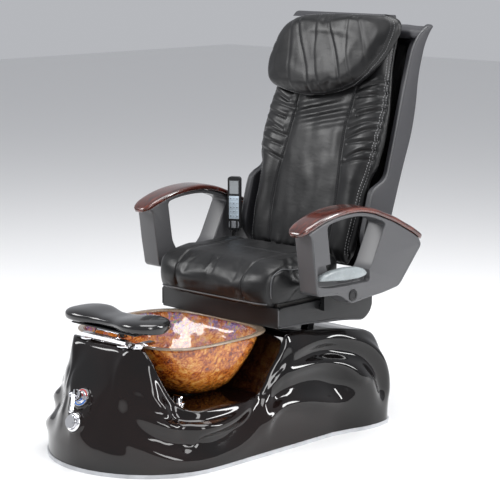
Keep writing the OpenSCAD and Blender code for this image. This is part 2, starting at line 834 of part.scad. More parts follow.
module arm_pad_left() arm_pad(1);
module arm_pad_right() arm_pad(-1);

module recline_lever() {
    color([0.72, 0.73, 0.75]) difference() {
        along_x(arm_out - lever_w, arm_out + 2) polygon([
            [-76, 556], [-60, 571], [-20, 580], [50, 583], [110, 578], [144, 566], [158, 550],
            [150, 536], [120, 529], [50, 530], [-10, 538], [-60, 545]
        ]);
        x_rod(lever_r + run_fit, arm_out - 40, arm_out + 10, lever_y, lever_z);
    }
}

module lever_pin() {
    color("silver") x_rod(lever_r, arm_in + 21, arm_out + 1.5, lever_y, lever_z);
}

// ---- back ----

module back_frame() {
    bar_x = lug_x - 12;
    color("dimgray") in_back() {
        difference() {
            union() {
                both_sides() block([lug_x - 24, lug_x], [-14, 14], [-18, back_l - 90]);
                both_sides() block([lug_x - 1, lug_x + 12], [-13, 13], [-16, 16]);
            }
            both_sides() x_rod(pin_r + run_fit, lug_x - 6, beam_x, 0, 0);
        }
        for (z = [back_l * 0.13, back_l - 110]) block([-bar_x, bar_x], [-12, 12], [z, z + 20]);
        block([-bar_x, bar_x], [-8, 8], [-11, 11]);
        both_sides() block([8, 14], [-11, 11], [-ram_arm - 12, 5]);
    }
}

module back_cushion() {
    r = 28;
    low = shell_in - 4;
    wide = back_half_w - 3;
    color([0.06, 0.06, 0.06]) in_back() {
        hull() for (x = [-1, 1]) {
            translate([x * (low - r), cushion_front + r, 34]) cylinder(r = r, h = 300, $fn = 32);
            translate([x * (low - 12), cushion_back - 12, 34]) cylinder(r = 12, h = 300, $fn = 32);
        }
        hull() for (x = [-1, 1]) {
            translate([x * (wide - r), cushion_front + r, 388]) cylinder(r = r, h = 300, $fn = 32);
            translate([x * (wide - 30), cushion_front + r + 12, back_l - 60]) cylinder(r = r, h = 20, $fn = 32);
            translate([x * (low - 12), cushion_back - 12, 334]) cylinder(r = 12, h = back_l - 404, $fn = 32);
        }
    }
}

// Side view of a side shell in the back's own frame, as (y, z)
module side_shell_outline() {
    polygon([
        [cushion_front + 6, 142], [-84, 104], [-30, 62], [18, 70], [26, 260], [34, 400], [46, 520], [40, 620],
        [22, 720], [24, back_l - 80], [50, back_l - 4], [36, back_l + 2], [-14, back_l - 40],
        [cushion_back + 4, back_l - 100], [cushion_back + 4, 348], [cushion_front + 16, 306],
        [cushion_front + 6, 290]
    ]);
}

module side_shell(s) {
    color([0.07, 0.07, 0.07]) mirror([s < 0 ? 1 : 0, 0, 0]) in_back()
        along_x(shell_in, back_half_w) side_shell_outline();
}

module side_shell_left() side_shell(1);
module side_shell_right() side_shell(-1);

module rear_cover() {
    color([0.07, 0.07, 0.07]) in_back()
        block([-shell_in + 1, shell_in - 1], [cover_y, cover_y + 8], [40, back_l - 20]);
}

module massage_rods() {
    color("silver") in_back() both_sides() translate([rod_x, rod_y, back_l * 0.13 + 22])
        cylinder(r = rod_r, h = back_l - 110 - back_l * 0.13 - 24);
}

module massage_carriage() {
    color("gray") in_back() difference() {
        union() {
            for (z = [carriage_z, carriage_z + 104])
                block([-rod_x - 18, rod_x + 18], [rod_y - 12, rod_y + 12], [z, z + 16]);
            both_sides() block([rod_x + 10, rod_x + 18], [roller_y - 8, rod_y + 12], [carriage_z, carriage_z + 120]);
        }
        both_sides() translate([rod_x, rod_y, carriage_z - 5]) cylinder(r = rod_r + run_fit, h = 140);
        x_rod(4 + run_fit, -rod_x - 30, rod_x + 30, roller_y, carriage_z + 60);
    }
}

module massage_rollers() {
    color("white") in_back() {
        x_rod(4, -rod_x - 18, rod_x + 18, roller_y, carriage_z + 60);
        for (x = [-36, 20]) x_rod(roller_r, x, x + 16, roller_y, carriage_z + 60);
    }
}

// Centres of the pillow's stuffing, as [x, height]; it hangs a little lower on the sitter's right
pillow_fill = [
    [-258, 700], [-236, 790], [-170, 852], [-160, 630], [-30, 614],
    [100, 648], [200, 720], [258, 800], [272, 852], [200, 864]
];
pillow_r = 26;
hem_y = -60;
hem_r = 5;

module head_pillow() {
    color([0.06, 0.06, 0.06]) in_back() {
        hull() for (at = pillow_fill)
            translate([at[0], cushion_front - pillow_r - 6, at[1]]) sphere(r = pillow_r, $fn = 20);
        along_x(-150, 150) polygon([
            [cushion_front - 30, back_l - 36], [cushion_front - 26, back_l - 20],
            [hem_y, back_l + 3], [hem_y, back_l - 3]
        ]);
        x_rod(hem_r, -150, 150, hem_y, back_l);
    }
}

// ---- hand control ----

module in_hand() {
    translate([remote_x, remote_y, remote_z]) rotate([0, 0, remote_turn]) children();
}

module remote_stalk() {
    half_t = remote_t/2 + 1;
    color([0.1, 0.1, 0.1]) {
        translate([stalk_x, stalk_y, skirt_z + 20]) cylinder(r = 4.5, h = remote_z + 30 - skirt_z - 20);
        block([stalk_x, -skirt_half_w], [stalk_y - 7, stalk_y + 7], [skirt_z + 22, skirt_z + 32]);
        in_hand() difference() {
            block([-14, 14], [-half_t - 3, half_t + 3], [-6, 34]);
            block([-remote_w, remote_w], [-half_t, half_t], [-1, 40]);
            block([-9, 9], [-half_t - 9, half_t], [-10, 40]);
        }
    }
}

module remote_case() {
    color([0.1, 0.1, 0.11]) in_hand() {
        difference() {
            hull() for (x = [-1, 1], z = [10, remote_l - 10])
                translate([x * (remote_w/2 - 10), -remote_t/2, z])
                    rotate([-90, 0, 0]) cylinder(r = 10, h = remote_t, $fn = 32);
            block([-18, 18], [-remote_t/2 - 1, -remote_t/2 + 1.5], [remote_l - 62, remote_l - 12]);
            block([-18, 18], [-remote_t/2 - 1, -remote_t/2 + 1.5], [remote_l - 150, remote_l - 68]);
        }
        translate([0, 0, -16]) cylinder(r = 4, h = 17);
    }
}

module remote_screen() {
    color([0.55, 0.6, 0.62]) in_hand()
        block([-17.8, 17.8], [-remote_t/2, -remote_t/2 + 1.5], [remote_l - 61.8, remote_l - 12.2]);
}

module remote_keypad() {
    color([0.8, 0.86, 0.9]) in_hand()
        block([-17.8, 17.8], [-remote_t/2 - 0.6, -remote_t/2 + 1.5], [remote_l - 149.8, remote_l - 68.2]);
}

module cord_gland() {
    last = cord_points[len(cord_points) - 1];
    color([0.1, 0.1, 0.1]) {
        translate([last[0], last[1], last[2]]) cylinder(r = cord_d/2 + 4, h = 12);
        block([last[0], -skirt_half_w], [last[1] - 6, last[1] + 6], [last[2] + 2, last[2] + 10]);
    }
}

function unit(v) = v / norm(v);
function cord_way(i) =
    let (n = len(cord_points))
    unit(cord_points[min(i + 1, n - 1)] - cord_points[max(i - 1, 0)]);

module remote_cord() {
    rings = [
        for (i = [0 : len(cord_points) - 1])
            let (d = cord_way(i), u = [1, 0, 0], v = unit(cross(d, u)), w = cross(v, d))
                [for (k = [0 : 7]) cord_points[i] + cord_d/2 * (cos(45 * k) * w - sin(45 * k) * v)]
    ];
    color([0.05, 0.05, 0.05]) loft(rings);
}

base_shell();
base_trim();
base_frame();
access_panel();
panel_screws();
riser_plate();
bowl();
bowl_gasket();
drain_body();
drain_pipe();
drain_stopper();
water_stubs();
jet_housing();
jet_motor();
jet_impeller();
fill_spout();
faucet_escutcheon();
faucet_body();
faucet_turret();
faucet_lever();
diverter_escutcheon();
diverter_knob();
drain_escutcheon();
drain_knob();
footrest_sleeves();
footrest_posts();
footrest_bracket();
footrest_plate();
footrest_pad();
lower_rails();
upper_rails();
seat_frame();
seat_deck();
seat_cushion();
skirt_panels();
arm_axles();
recline_pins();
actuator_body();
actuator_rod();
arm_shell_left();
arm_shell_right();
arm_pad_left();
arm_pad_right();
recline_lever();
lever_pin();
back_frame();
back_cushion();
side_shell_left();
side_shell_right();
rear_cover();
massage_rods();
massage_carriage();
massage_rollers();
head_pillow();
remote_stalk();
remote_case();
remote_screen();
remote_keypad();
cord_gland();
remote_cord();
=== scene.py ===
"""Looks of a pedicure spa chair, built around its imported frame.

Metres. +X is the sitter's left, -Y the front, +Z up, and the origin is on the floor.
"""

import logging
import math
import random
from collections.abc import Callable
from dataclasses import dataclass
from enum import Enum

import bmesh
import bpy
import numpy as np
from mathutils import Matrix, Vector, noise


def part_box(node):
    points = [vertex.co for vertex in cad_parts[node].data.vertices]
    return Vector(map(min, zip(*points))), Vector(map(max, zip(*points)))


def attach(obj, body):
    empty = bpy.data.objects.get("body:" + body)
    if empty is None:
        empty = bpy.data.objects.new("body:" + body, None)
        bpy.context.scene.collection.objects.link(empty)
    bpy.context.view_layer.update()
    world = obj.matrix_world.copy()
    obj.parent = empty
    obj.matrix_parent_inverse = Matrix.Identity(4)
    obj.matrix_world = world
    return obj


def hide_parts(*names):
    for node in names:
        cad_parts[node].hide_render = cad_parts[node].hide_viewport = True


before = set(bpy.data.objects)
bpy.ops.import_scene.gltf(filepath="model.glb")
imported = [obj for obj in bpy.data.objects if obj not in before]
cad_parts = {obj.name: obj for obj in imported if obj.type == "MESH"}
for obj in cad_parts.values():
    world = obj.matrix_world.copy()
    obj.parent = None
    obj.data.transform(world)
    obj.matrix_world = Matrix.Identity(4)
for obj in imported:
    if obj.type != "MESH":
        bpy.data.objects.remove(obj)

logging.basicConfig(level=logging.INFO, format="%(message)s")
log = logging.getLogger("chair")

Point = tuple[float, float, float]
Colour = tuple[float, float, float]


# ---- shader expressions ----


class Signal:
    """A number socket that Python's operators turn into Math nodes."""

    def __init__(self, dress: "Dress", socket: bpy.types.NodeSocket) -> None:
        """Wraps a socket.

        Args:
            dress: The material being written.
            socket: The output socket to wrap.
        """
        self.dress = dress
        self.socket = socket

    def _math(self, operation: str, *values: "Signal | float") -> "Signal":
        """One Math node on these values."""
        return self.dress.math(operation, *values)

    def __add__(self, other: "Signal | float") -> "Signal":
        """self + other."""
        return self._math("ADD", self, other)

    __radd__ = __add__

    def __mul__(self, other: "Signal | float") -> "Signal":
        """self * other."""
        return self._math("MULTIPLY", self, other)

    __rmul__ = __mul__

    def __sub__(self, other: "Signal | float") -> "Signal":
        """self - other."""
        return self._math("SUBTRACT", self, other)

    def __rsub__(self, other: float) -> "Signal":
        """other - self."""
        return self._math("SUBTRACT", other, self)

    def __truediv__(self, other: "Signal | float") -> "Signal":
        """self / other."""
        return self._math("DIVIDE", self, other)

    def __pow__(self, other: float) -> "Signal":
        """self ** other."""
        return self._math("POWER", self, other)

    def __abs__(self) -> "Signal":
        """The size of self."""
        return self._math("ABSOLUTE", self)

    def sine(self) -> "Signal":
        """The sine of self, in radians."""
        return self._math("SINE", self)

    def step(self, low: float, high: float) -> "Signal":
        """A smooth step that is 0 below low and 1 above high.

        Args:
            low: Where it starts to rise.
            high: Where it has risen.

        Returns:
            The step, from 0 to 1.
        """
        node = self.dress.node("ShaderNodeMapRange", {"interpolation_type": "SMOOTHSTEP"},
                               {0: self, 1: low, 2: high})
        return Signal(self.dress, node.outputs[0])


class Dress:
    """Writes one node material, an expression at a time."""

    def __init__(self, name: str) -> None:
        """Starts an empty principled material.

        Args:
            name: The material's name.
        """
        self.material = bpy.data.materials.new(name)
        self.material.use_nodes = True
        self.tree = self.material.node_tree
        self.shader = self.tree.nodes["Principled BSDF"]
        self.place = self.node("ShaderNodeTexCoord").outputs["Object"]
        self.bumps: bpy.types.NodeSocket | None = None

    def node(self, kind: str, settings: dict | None = None, sockets: dict | None = None) -> bpy.types.Node:
        """Adds any node.

        Args:
            kind: The node's type.
            settings: Its own settings, set first.
            sockets: Values or links of its input sockets, by name or number.

        Returns:
            The new node.
        """
        made = self.tree.nodes.new(kind)
        for key, value in (settings or {}).items():
            if key == "stops":
                self._stops(made, value)
            else:
                setattr(made, key, value)
        for key, value in (sockets or {}).items():
            self._feed(made.inputs[key], value)
        return made

    def _stops(self, ramp: bpy.types.Node, stops: list[tuple[float, Colour]]) -> None:
        """Gives a colour ramp its stops."""
        elements = ramp.color_ramp.elements
        while len(elements) < len(stops):
            elements.new(0.5)
        for element, (place, colour) in zip(elements, stops):
            element.position = place
            element.color = (*colour, 1.0)

    def _feed(self, socket: bpy.types.NodeSocket, value: object) -> None:
        """Sets or links one input socket."""
        if isinstance(value, Signal):
            value = value.socket
        if isinstance(value, bpy.types.NodeSocket):
            self.tree.links.new(value, socket)
        elif isinstance(value, tuple) and len(value) == 3 and socket.type == "RGBA":
            socket.default_value = (*value, 1.0)
        else:
            socket.default_value = value

    def math(self, operation: str, *values: "Signal | float") -> Signal:
        """One Math node.

        Args:
            operation: Its operation.
            values: Its inputs.

        Returns:
            Its result.
        """
        made = self.node("ShaderNodeMath", {"operation": operation}, dict(enumerate(values)))
        return Signal(self, made.outputs[0])

    def axis(self, letter: str) -> Signal:
        """One coordinate of the place on the piece, in metres."""
        made = self.node("ShaderNodeSeparateXYZ", None, {0: self.place})
        return Signal(self, made.outputs[letter])

    def stretched(self, scale: Point) -> bpy.types.NodeSocket:
        """The place on the piece, scaled along each axis."""
        return self.node("ShaderNodeMapping", None, {"Vector": self.place, "Scale": scale}).outputs[0]

    def noise(self, scale: float, detail: float = 3.0, vector: bpy.types.NodeSocket | None = None,
              distortion: float = 0.0) -> Signal:
        """Soft noise from 0 to 1.

        Args:
            scale: Lumps per metre.
            detail: Octaves.
            vector: Where it is read; the place on the piece if None.
            distortion: How far it swirls.

        Returns:
            The noise.
        """
        made = self.node("ShaderNodeTexNoise", None, {
            "Vector": vector or self.place, "Scale": scale, "Detail": detail, "Distortion": distortion})
        return Signal(self, made.outputs["Fac"])

    def cells(self, scale: float, feature: str = "F1", vector: bpy.types.NodeSocket | None = None) -> Signal:
        """Distance in a cell pattern.

        Args:
            scale: Cells per metre.
            feature: Which distance.
            vector: Where it is read; the place on the piece if None.

        Returns:
            The distance.
        """
        made = self.node("ShaderNodeTexVoronoi", {"feature": feature},
                         {"Vector": vector or self.place, "Scale": scale})
        return Signal(self, made.outputs["Distance"])

    def ramp(self, value: Signal, stops: list[tuple[float, Colour]]) -> bpy.types.NodeSocket:
        """Colours by value.

        Args:
            value: From 0 to 1.
            stops: Pairs of place and colour.

        Returns:
            The colour.
        """
        return self.node("ShaderNodeValToRGB", {"stops": stops}, {0: value}).outputs[0]

    def mix(self, share: "Signal | float", first: object, second: object) -> bpy.types.NodeSocket:
        """Mixes two colours.

        Args:
            share: How much of the second.
            first: The first colour.
            second: The second colour.

        Returns:
            The mixed colour.
        """
        made = self.node("ShaderNodeMix", {"data_type": "RGBA"}, {0: share, 6: first, 7: second})
        return made.outputs[2]

    def bump(self, height: Signal, depth: float, strength: float = 1.0) -> None:
        """Adds relief to the surface.

        Args:
            height: The relief, from 0 to 1.
            depth: Its depth, in metres.
            strength: How strongly it shows.
        """
        sockets: dict = {"Height": height, "Distance": depth, "Strength": strength}
        if self.bumps is not None:
            sockets["Normal"] = self.bumps
        self.bumps = self.node("ShaderNodeBump", None, sockets).outputs[0]

    def done(self, colour: object, roughness: object, **constants: object) -> bpy.types.Material:
        """Closes the material.

        Args:
            colour: Base colour, a value or a link.
            roughness: Roughness, a value or a link.
            constants: Other sockets of the shader, with _ for a space.

        Returns:
            The finished material.
        """
        self._feed(self.shader.inputs["Base Color"], colour)
        self._feed(self.shader.inputs["Roughness"], roughness)
        for key, value in constants.items():
            self._feed(self.shader.inputs[key.replace("_", " ")], value)
        if self.bumps is not None:
            self.tree.links.new(self.bumps, self.shader.inputs["Normal"])
        return self.material


# ---- finishes ----


@dataclass(frozen=True)
class Gelcoat:
    """Deep black polished gel coat with a warm tint."""

    name: str = "gelcoat"
    tint: Colour = (0.0018, 0.0012, 0.0011)
    warm: Colour = (0.0062, 0.0024, 0.0018)

    def material(self) -> bpy.types.Material:
        """The polished gel coat."""
        dress = Dress(self.name)
        cloud = dress.noise(4.0, 2.0).step(0.35, 0.75)
        dust = dress.noise(900.0, 2.0)
        dress.bump(dress.noise(22.0, 1.0), 0.0003, 0.12)
        return dress.done(dress.mix(cloud, self.tint, self.warm), dust * 0.05 + 0.045,
                          Coat_Weight=0.55, Coat_Roughness=0.03, Specular_IOR_Level=0.18)


@dataclass(frozen=True)
class Metal:
    """A bare or plated metal, polished or brushed."""

    name: str
    tint: Colour
    roughness: float
    grain: float = 0.0

    def material(self) -> bpy.types.Material:
        """The metal, with fine haze and, if it has any, its brushed grain."""
        dress = Dress(self.name)
        haze = dress.noise(60.0, 3.0)
        shade = tuple(c * 0.86 for c in self.tint)
        if self.grain:
            lines = dress.noise(1.0, 2.0, dress.stretched((900.0, 900.0, 12.0)))
            dress.bump(lines, 0.00005, self.grain)
        return dress.done(dress.mix(haze.step(0.3, 0.7), self.tint, shade),
                          haze * 0.08 + self.roughness, Metallic=1.0)


@dataclass(frozen=True)
class Moulded:
    """Moulded plastic, rubber or paint, with a fine texture."""

    name: str
    tint: Colour
    roughness: float
    texture: float = 0.25
    scale: float = 1400.0
    coat: float = 0.0

    def material(self) -> bpy.types.Material:
        """The moulded surface."""
        dress = Dress(self.name)
        shade = tuple(c * 0.78 for c in self.tint)
        cloud = dress.noise(14.0, 3.0).step(0.3, 0.7)
        dress.bump(dress.cells(self.scale), 0.00012, self.texture)
        return dress.done(dress.mix(cloud, self.tint, shade),
                          dress.noise(200.0, 2.0) * 0.1 + (self.roughness - 0.05), Coat_Weight=self.coat,
                          Specular_IOR_Level=0.36)


@dataclass(frozen=True)
class Leather:
    """Soft black upholstery leather with pebbled grain and creases."""

    name: str
    tint: Colour = (0.0036, 0.0036, 0.0039)
    worn: Colour = (0.0075, 0.0075, 0.0080)
    roughness: float = 0.36
    crease: float = 0.35

    def material(self) -> bpy.types.Material:
        """The leather: pebbles, fine creases, and a duller bloom on the high spots."""
        dress = Dress(self.name)
        pebble = dress.cells(620.0, "SMOOTH_F1")
        crease = dress.noise(1.0, 4.0, dress.stretched((26.0, 26.0, 60.0)), 0.6)
        bloom = dress.noise(9.0, 3.0).step(0.35, 0.7)
        dress.bump(crease, 0.0016, self.crease)
        dress.bump(pebble, 0.00022, 0.4)
        return dress.done(dress.mix(bloom, self.tint, self.worn),
                          bloom * 0.10 + pebble * 0.05 + self.roughness,
                          Coat_Weight=0.08, Coat_Roughness=0.26, Specular_IOR_Level=0.34)


@dataclass(frozen=True)
class CherryWood:
    """Dark cherry with straight figure under clear lacquer."""

    name: str = "cherry_wood"
    dark: Colour = (0.016, 0.0035, 0.002)
    middle: Colour = (0.065, 0.010, 0.005)
    light: Colour = (0.125, 0.022, 0.009)

    def material(self) -> bpy.types.Material:
        """The lacquered wood."""
        dress = Dress(self.name)
        grain = dress.noise(1.0, 6.0, dress.stretched((70.0, 5.0, 38.0)), 1.4)
        pores = dress.noise(1.0, 2.0, dress.stretched((1500.0, 40.0, 900.0)))
        figure = dress.ramp(grain, [(0.32, self.dark), (0.5, self.middle), (0.68, self.light)])
        colour = dress.mix(pores.step(0.56, 0.68) * 0.5, figure, self.dark)
        dress.bump(grain, 0.0002, 0.15)
        return dress.done(colour, grain * 0.10 + 0.20, Coat_Weight=0.9, Coat_Roughness=0.05)


@dataclass(frozen=True)
class Plywood:
    """Birch ply stained black; the black also stands in as painted shade for the dark gap between the cushion and the
    skirts.
    """

    name: str = "plywood"

    def material(self) -> bpy.types.Material:
        """The ply's face."""
        dress = Dress(self.name)
        grain = dress.noise(1.0, 4.0, dress.stretched((60.0, 4.0, 60.0)), 0.8)
        return dress.done(dress.ramp(grain, [(0.3, (0.008, 0.007, 0.006)), (0.7, (0.016, 0.014, 0.012))]), 0.6)


@dataclass(frozen=True)
class HammeredGlass:
    """Amber art glass: wavy hammered relief, gold to copper, with an iridescent flash inside."""

    name: str = "hammered_glass"
    foot_z: float = 0.196
    rim_z: float = 0.385

    def material(self) -> bpy.types.Material:
        """The glass."""
        dress = Dress(self.name)
        swirl = dress.noise(20.0, 3.0, None, 1.8)
        waves = dress.noise(1.0, 3.0, dress.stretched((55.0, 55.0, 75.0)), 2.6)
        height = (dress.axis("Z") - self.foot_z) / (self.rim_z - self.foot_z)
        body = dress.ramp(swirl * 0.55 + waves * 0.45, [
            (0.32, (0.060, 0.008, 0.002)), (0.43, (0.34, 0.060, 0.006)), (0.52, (0.66, 0.20, 0.022)),
            (0.61, (0.80, 0.38, 0.065)), (0.72, (0.92, 0.62, 0.24))])
        foot = dress.ramp(waves, [(0.35, (0.16, 0.035, 0.008)), (0.55, (0.62, 0.20, 0.02)),
                                  (0.7, (0.95, 0.50, 0.07))])
        fall = dress.mix(height.step(0.02, 0.38), foot, body)
        pane = dress.cells(48.0)
        flash = dress.ramp(dress.noise(34.0, 2.0, None, 2.2), [
            (0.36, (0.03, 0.05, 0.30)), (0.45, (0.10, 0.25, 0.62)), (0.52, (0.45, 0.12, 0.50)),
            (0.58, (0.62, 0.42, 0.10)), (0.66, (0.10, 0.42, 0.40))])
        where = height.step(0.35, 0.85) * dress.noise(8.0, 2.0).step(0.40, 0.54) * pane.step(0.15, 0.5)
        where = where * (dress.axis("Y") - dress.axis("X") + 0.35).step(-0.04, 0.12)
        colour = dress.mix(where * 0.75, fall, flash)
        clear = height.step(0.955, 0.965)
        dress.bump(waves, 0.0055, 0.9)
        dress.bump(pane, 0.0030, 0.8)
        return dress.done(dress.mix(clear, colour, (0.34, 0.25, 0.17)), waves * 0.10 + 0.05,
                          Coat_Weight=1.0, Coat_Roughness=0.04, Transmission_Weight=0.22, IOR=1.5,
                          Alpha=1.0)


class Look(Enum):
    """Every plain finish that a piece of the frame can take."""

    CHROME = Metal("chrome", (0.78, 0.78, 0.80), 0.05)
    POST = Metal("polished_post", (0.72, 0.62, 0.58), 0.16, 0.2)
    STEEL = Metal("zinc_steel", (0.52, 0.52, 0.54), 0.28, 0.35)
    BRASS = Metal("brass", (0.68, 0.46, 0.17), 0.22, 0.1)
    PAINTED = Moulded("frame_paint", (0.0085, 0.0085, 0.009), 0.42, 0.35, 700.0)
    TRIM = Moulded("edge_trim", (0.52, 0.53, 0.55), 0.34, 0.15)
    PANEL = Moulded("panel_gloss", (0.010, 0.008, 0.007), 0.12, 0.05, 500.0, 0.8)
    SEAL = Moulded("seal_rubber", (0.015, 0.015, 0.015), 0.75, 0.3)
    PIPE = Moulded("white_pipe", (0.72, 0.72, 0.69), 0.35, 0.05)
    MOTOR = Moulded("motor_case", (0.024, 0.024, 0.026), 0.55, 0.5, 900.0)
    ARM = Moulded("arm_plastic", (0.0052, 0.0054, 0.0058), 0.38, 0.45, 1600.0)
    # pale grey for the arm's edge beads: a painted highlight along the post and rear panel edges
    ARM_EDGE = Moulded("arm_edge_painted_highlight", (0.085, 0.088, 0.092), 0.35, 0.2, 1600.0)
    LEVER = Moulded("lever_plastic", (0.29, 0.32, 0.33), 0.26, 0.08, 1600.0)
    CASE = Moulded("control_case", (0.012, 0.012, 0.013), 0.34, 0.3, 1900.0)
    FOOT = Moulded("footrest_skin", (0.0085, 0.0080, 0.0085), 0.17, 0.10, 420.0, 0.6)
    CORD = Moulded("cord_skin", (0.012, 0.012, 0.012), 0.5, 0.2)
    SCREEN = Moulded("grey_window", (0.28, 0.30, 0.31), 0.14, 0.05, 800.0, 0.5)
    KEYS = Moulded("key_membrane", (0.60, 0.70, 0.78), 0.5, 0.2)
    MARKS = Moulded("key_marks", (0.05, 0.06, 0.08), 0.6, 0.1)
    SILVER = Moulded("control_end", (0.30, 0.31, 0.33), 0.3, 0.1)
    THREAD = Moulded("thread", (0.30, 0.30, 0.31), 0.6, 0.6, 2500.0)
    SEAM = Moulded("seam_thread", (0.075, 0.075, 0.08), 0.6, 0.6, 2500.0)
    PIPING = Moulded("piping", (0.085, 0.086, 0.09), 0.30, 0.2, 900.0)
    RED = Moulded("red_ring", (0.45, 0.02, 0.02), 0.25, 0.05)
    BLUE = Moulded("blue_ring", (0.03, 0.16, 0.55), 0.25, 0.05)
    HIDE = Leather("cushion_leather")
    SHELL = Leather("shell_leather", (0.0036, 0.0036, 0.0039), (0.0065, 0.0065, 0.0070), 0.38, 0.15)
    SKIRT = Leather("skirt_leather", (0.0095, 0.0095, 0.010), (0.017, 0.017, 0.018), 0.32, 0.10)
    GELCOAT = Gelcoat()
    WOOD = CherryWood()
    PLY = Plywood()
    GLASS = HammeredGlass()

    @property
    def made(self) -> bpy.types.Material:
        """The finish's material, made the first time it is asked for."""
        return bpy.data.materials.get(self.value.name) or self.value.material()


NODE_LOOKS: dict[Look, tuple[str, ...]] = {
    Look.TRIM: ("base_trim",),
    Look.PAINTED: ("base_frame", "riser_plate", "lower_rails", "seat_frame", "back_frame", "footrest_plate",
                   # arm_axles take the black frame paint instead of steel, so they read as the dark gap by the lever:
                   # painted shade
                   "arm_axles"),
    Look.PANEL: ("access_panel",),
    Look.SEAL: ("bowl_gasket",),
    Look.CHROME: ("drain_body", "drain_stopper", "jet_housing", "fill_spout", "faucet_escutcheon",
                  "faucet_body", "faucet_turret", "faucet_lever", "diverter_escutcheon", "diverter_knob",
                  "drain_escutcheon", "drain_knob", "footrest_sleeves", "footrest_bracket"),
    Look.POST: ("footrest_posts",),
    Look.STEEL: ("panel_screws", "upper_rails", "recline_pins", "actuator_rod", "lever_pin",
                 "massage_rods"),
    Look.PIPE: ("drain_pipe", "jet_impeller", "massage_rollers"),
    Look.BRASS: ("water_stubs",),
    Look.MOTOR: ("jet_motor", "actuator_body", "massage_carriage"),
    # the seat deck wears black-stained ply, dark as painted shade for the gap between cushion and skirts
    Look.PLY: ("seat_deck",),
    Look.SKIRT: ("skirt_panels",),
    Look.CASE: ("remote_case", "remote_stalk", "cord_gland"),
    Look.SCREEN: ("remote_screen",),
    Look.KEYS: ("remote_keypad",),
    Look.ARM: ("arm_shell_left", "arm_shell_right"),
    Look.WOOD: ("arm_pad_left", "arm_pad_right"),
    Look.SHELL: ("side_shell_left", "side_shell_right", "rear_cover"),
    Look.LEVER: ("recline_lever",),
    Look.HIDE: ("seat_cushion", "back_cushion", "head_pillow"),
    Look.FOOT: ("footrest_pad",),
    Look.GELCOAT: ("base_shell",),
    Look.GLASS: ("bowl",),
    Look.CORD: ("remote_cord",),
}


# ---- mesh helpers ----


def ease(t: float) -> float:
    """A smooth step from 0 to 1 over t from 0 to 1."""
    c = max(0.0, min(1.0, t))
    return c * c * (3 - 2 * c)


def smooth(obj: bpy.types.Object, look: Look, body: str) -> bpy.types.Object:
    """Shades a piece smooth, dresses it and lets it ride.

    Args:
        obj: The piece.
        look: Its finish.
        body: The body that it rides on.

    Returns:
        The piece.
    """
    if not obj.data.materials:
        obj.data.materials.append(look.made)
    if obj.type == "MESH":
        obj.data.shade_smooth()
    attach(obj, body)
    log.info("made %s on %s", obj.name, body)
    return obj


def piece(name: str, vertices: list, faces: list) -> bpy.types.Object:
    """A mesh object with outward faces.

    Args:
        name: Its name.
        vertices: Its points.
        faces: Its faces, as lists of point numbers.

    Returns:
        The new object.
    """
    mesh = bpy.data.meshes.new(name)
    mesh.from_pydata([tuple(v) for v in vertices], [], faces)
    bm = bmesh.new()
    bm.from_mesh(mesh)
    bmesh.ops.remove_doubles(bm, verts=bm.verts, dist=1e-6)
    bmesh.ops.recalc_face_normals(bm, faces=bm.faces)
    bm.to_mesh(mesh)
    bm.free()
    obj = bpy.data.objects.new(name, mesh)
    bpy.context.collection.objects.link(obj)
    return obj


def grid_faces(rows: int, columns: int, closed: bool) -> list[tuple[int, ...]]:
    """Faces of a grid of points.

    Args:
        rows: How many rows.
        columns: Points in a row.
        closed: Whether each row closes on itself.

    Returns:
        The faces.
    """
    last = columns if closed else columns - 1
    return [(r * columns + c, r * columns + (c + 1) % columns,
             (r + 1) * columns + (c + 1) % columns, (r + 1) * columns + c)
            for r in range(rows - 1) for c in range(last)]


def loft(name: str, rings: list[list[Point]]) -> bpy.types.Object:
    """A closed skin through rings of equal length, with capped ends."""
    n = len(rings[0])
    faces = grid_faces(len(rings), n, True)
    faces += [tuple(range(n)), tuple((len(rings) - 1) * n + c for c in range(n))]
    return piece(name, [p for ring in rings for p in ring], faces)


def apply_modifiers(obj: bpy.types.Object) -> None:
    """Turns a piece's modifiers into its mesh."""
    depsgraph = bpy.context.evaluated_depsgraph_get()
    mesh = bpy.data.meshes.new_from_object(obj.evaluated_get(depsgraph))
    obj.modifiers.clear()
    obj.data = mesh


def smooth_line(points: list[Point], step: float, closed: bool = False) -> list[Vector]:
    """A Catmull-Rom line through points, resampled evenly.

    Args:
        points: The points it passes through.
        step: The distance between the points returned.
        closed: Whether it closes.

    Returns:
        The evenly spaced points.
    """
    p = [Vector(q) for q in points]
    p = [p[-1], *p, p[0], p[1]] if closed else [2 * p[0] - p[1], *p, 2 * p[-1] - p[-2]]
    fine: list[Vector] = []
    for i in range(1, len(p) - 2):
        for k in range(16):
            t = k / 16
            fine.append(0.5 * (2 * p[i] + (p[i + 1] - p[i - 1]) * t
                               + (2 * p[i - 1] - 5 * p[i] + 4 * p[i + 1] - p[i + 2]) * t * t
                               + (3 * p[i] - p[i - 1] - 3 * p[i + 1] + p[i + 2]) * t ** 3))
    fine.append(p[-2].copy())
    run = [0.0]
    for a, b in zip(fine, fine[1:]):
        run.append(run[-1] + (b - a).length)
    count = max(2, round(run[-1] / step))
    out: list[Vector] = []
    j = 0
    for k in range(count + 1):
        want = run[-1] * k / count
        while j < len(run) - 2 and run[j + 1] < want:
            j += 1
        span = run[j + 1] - run[j] or 1.0
        out.append(fine[j].lerp(fine[j + 1], (want - run[j]) / span))
    return out


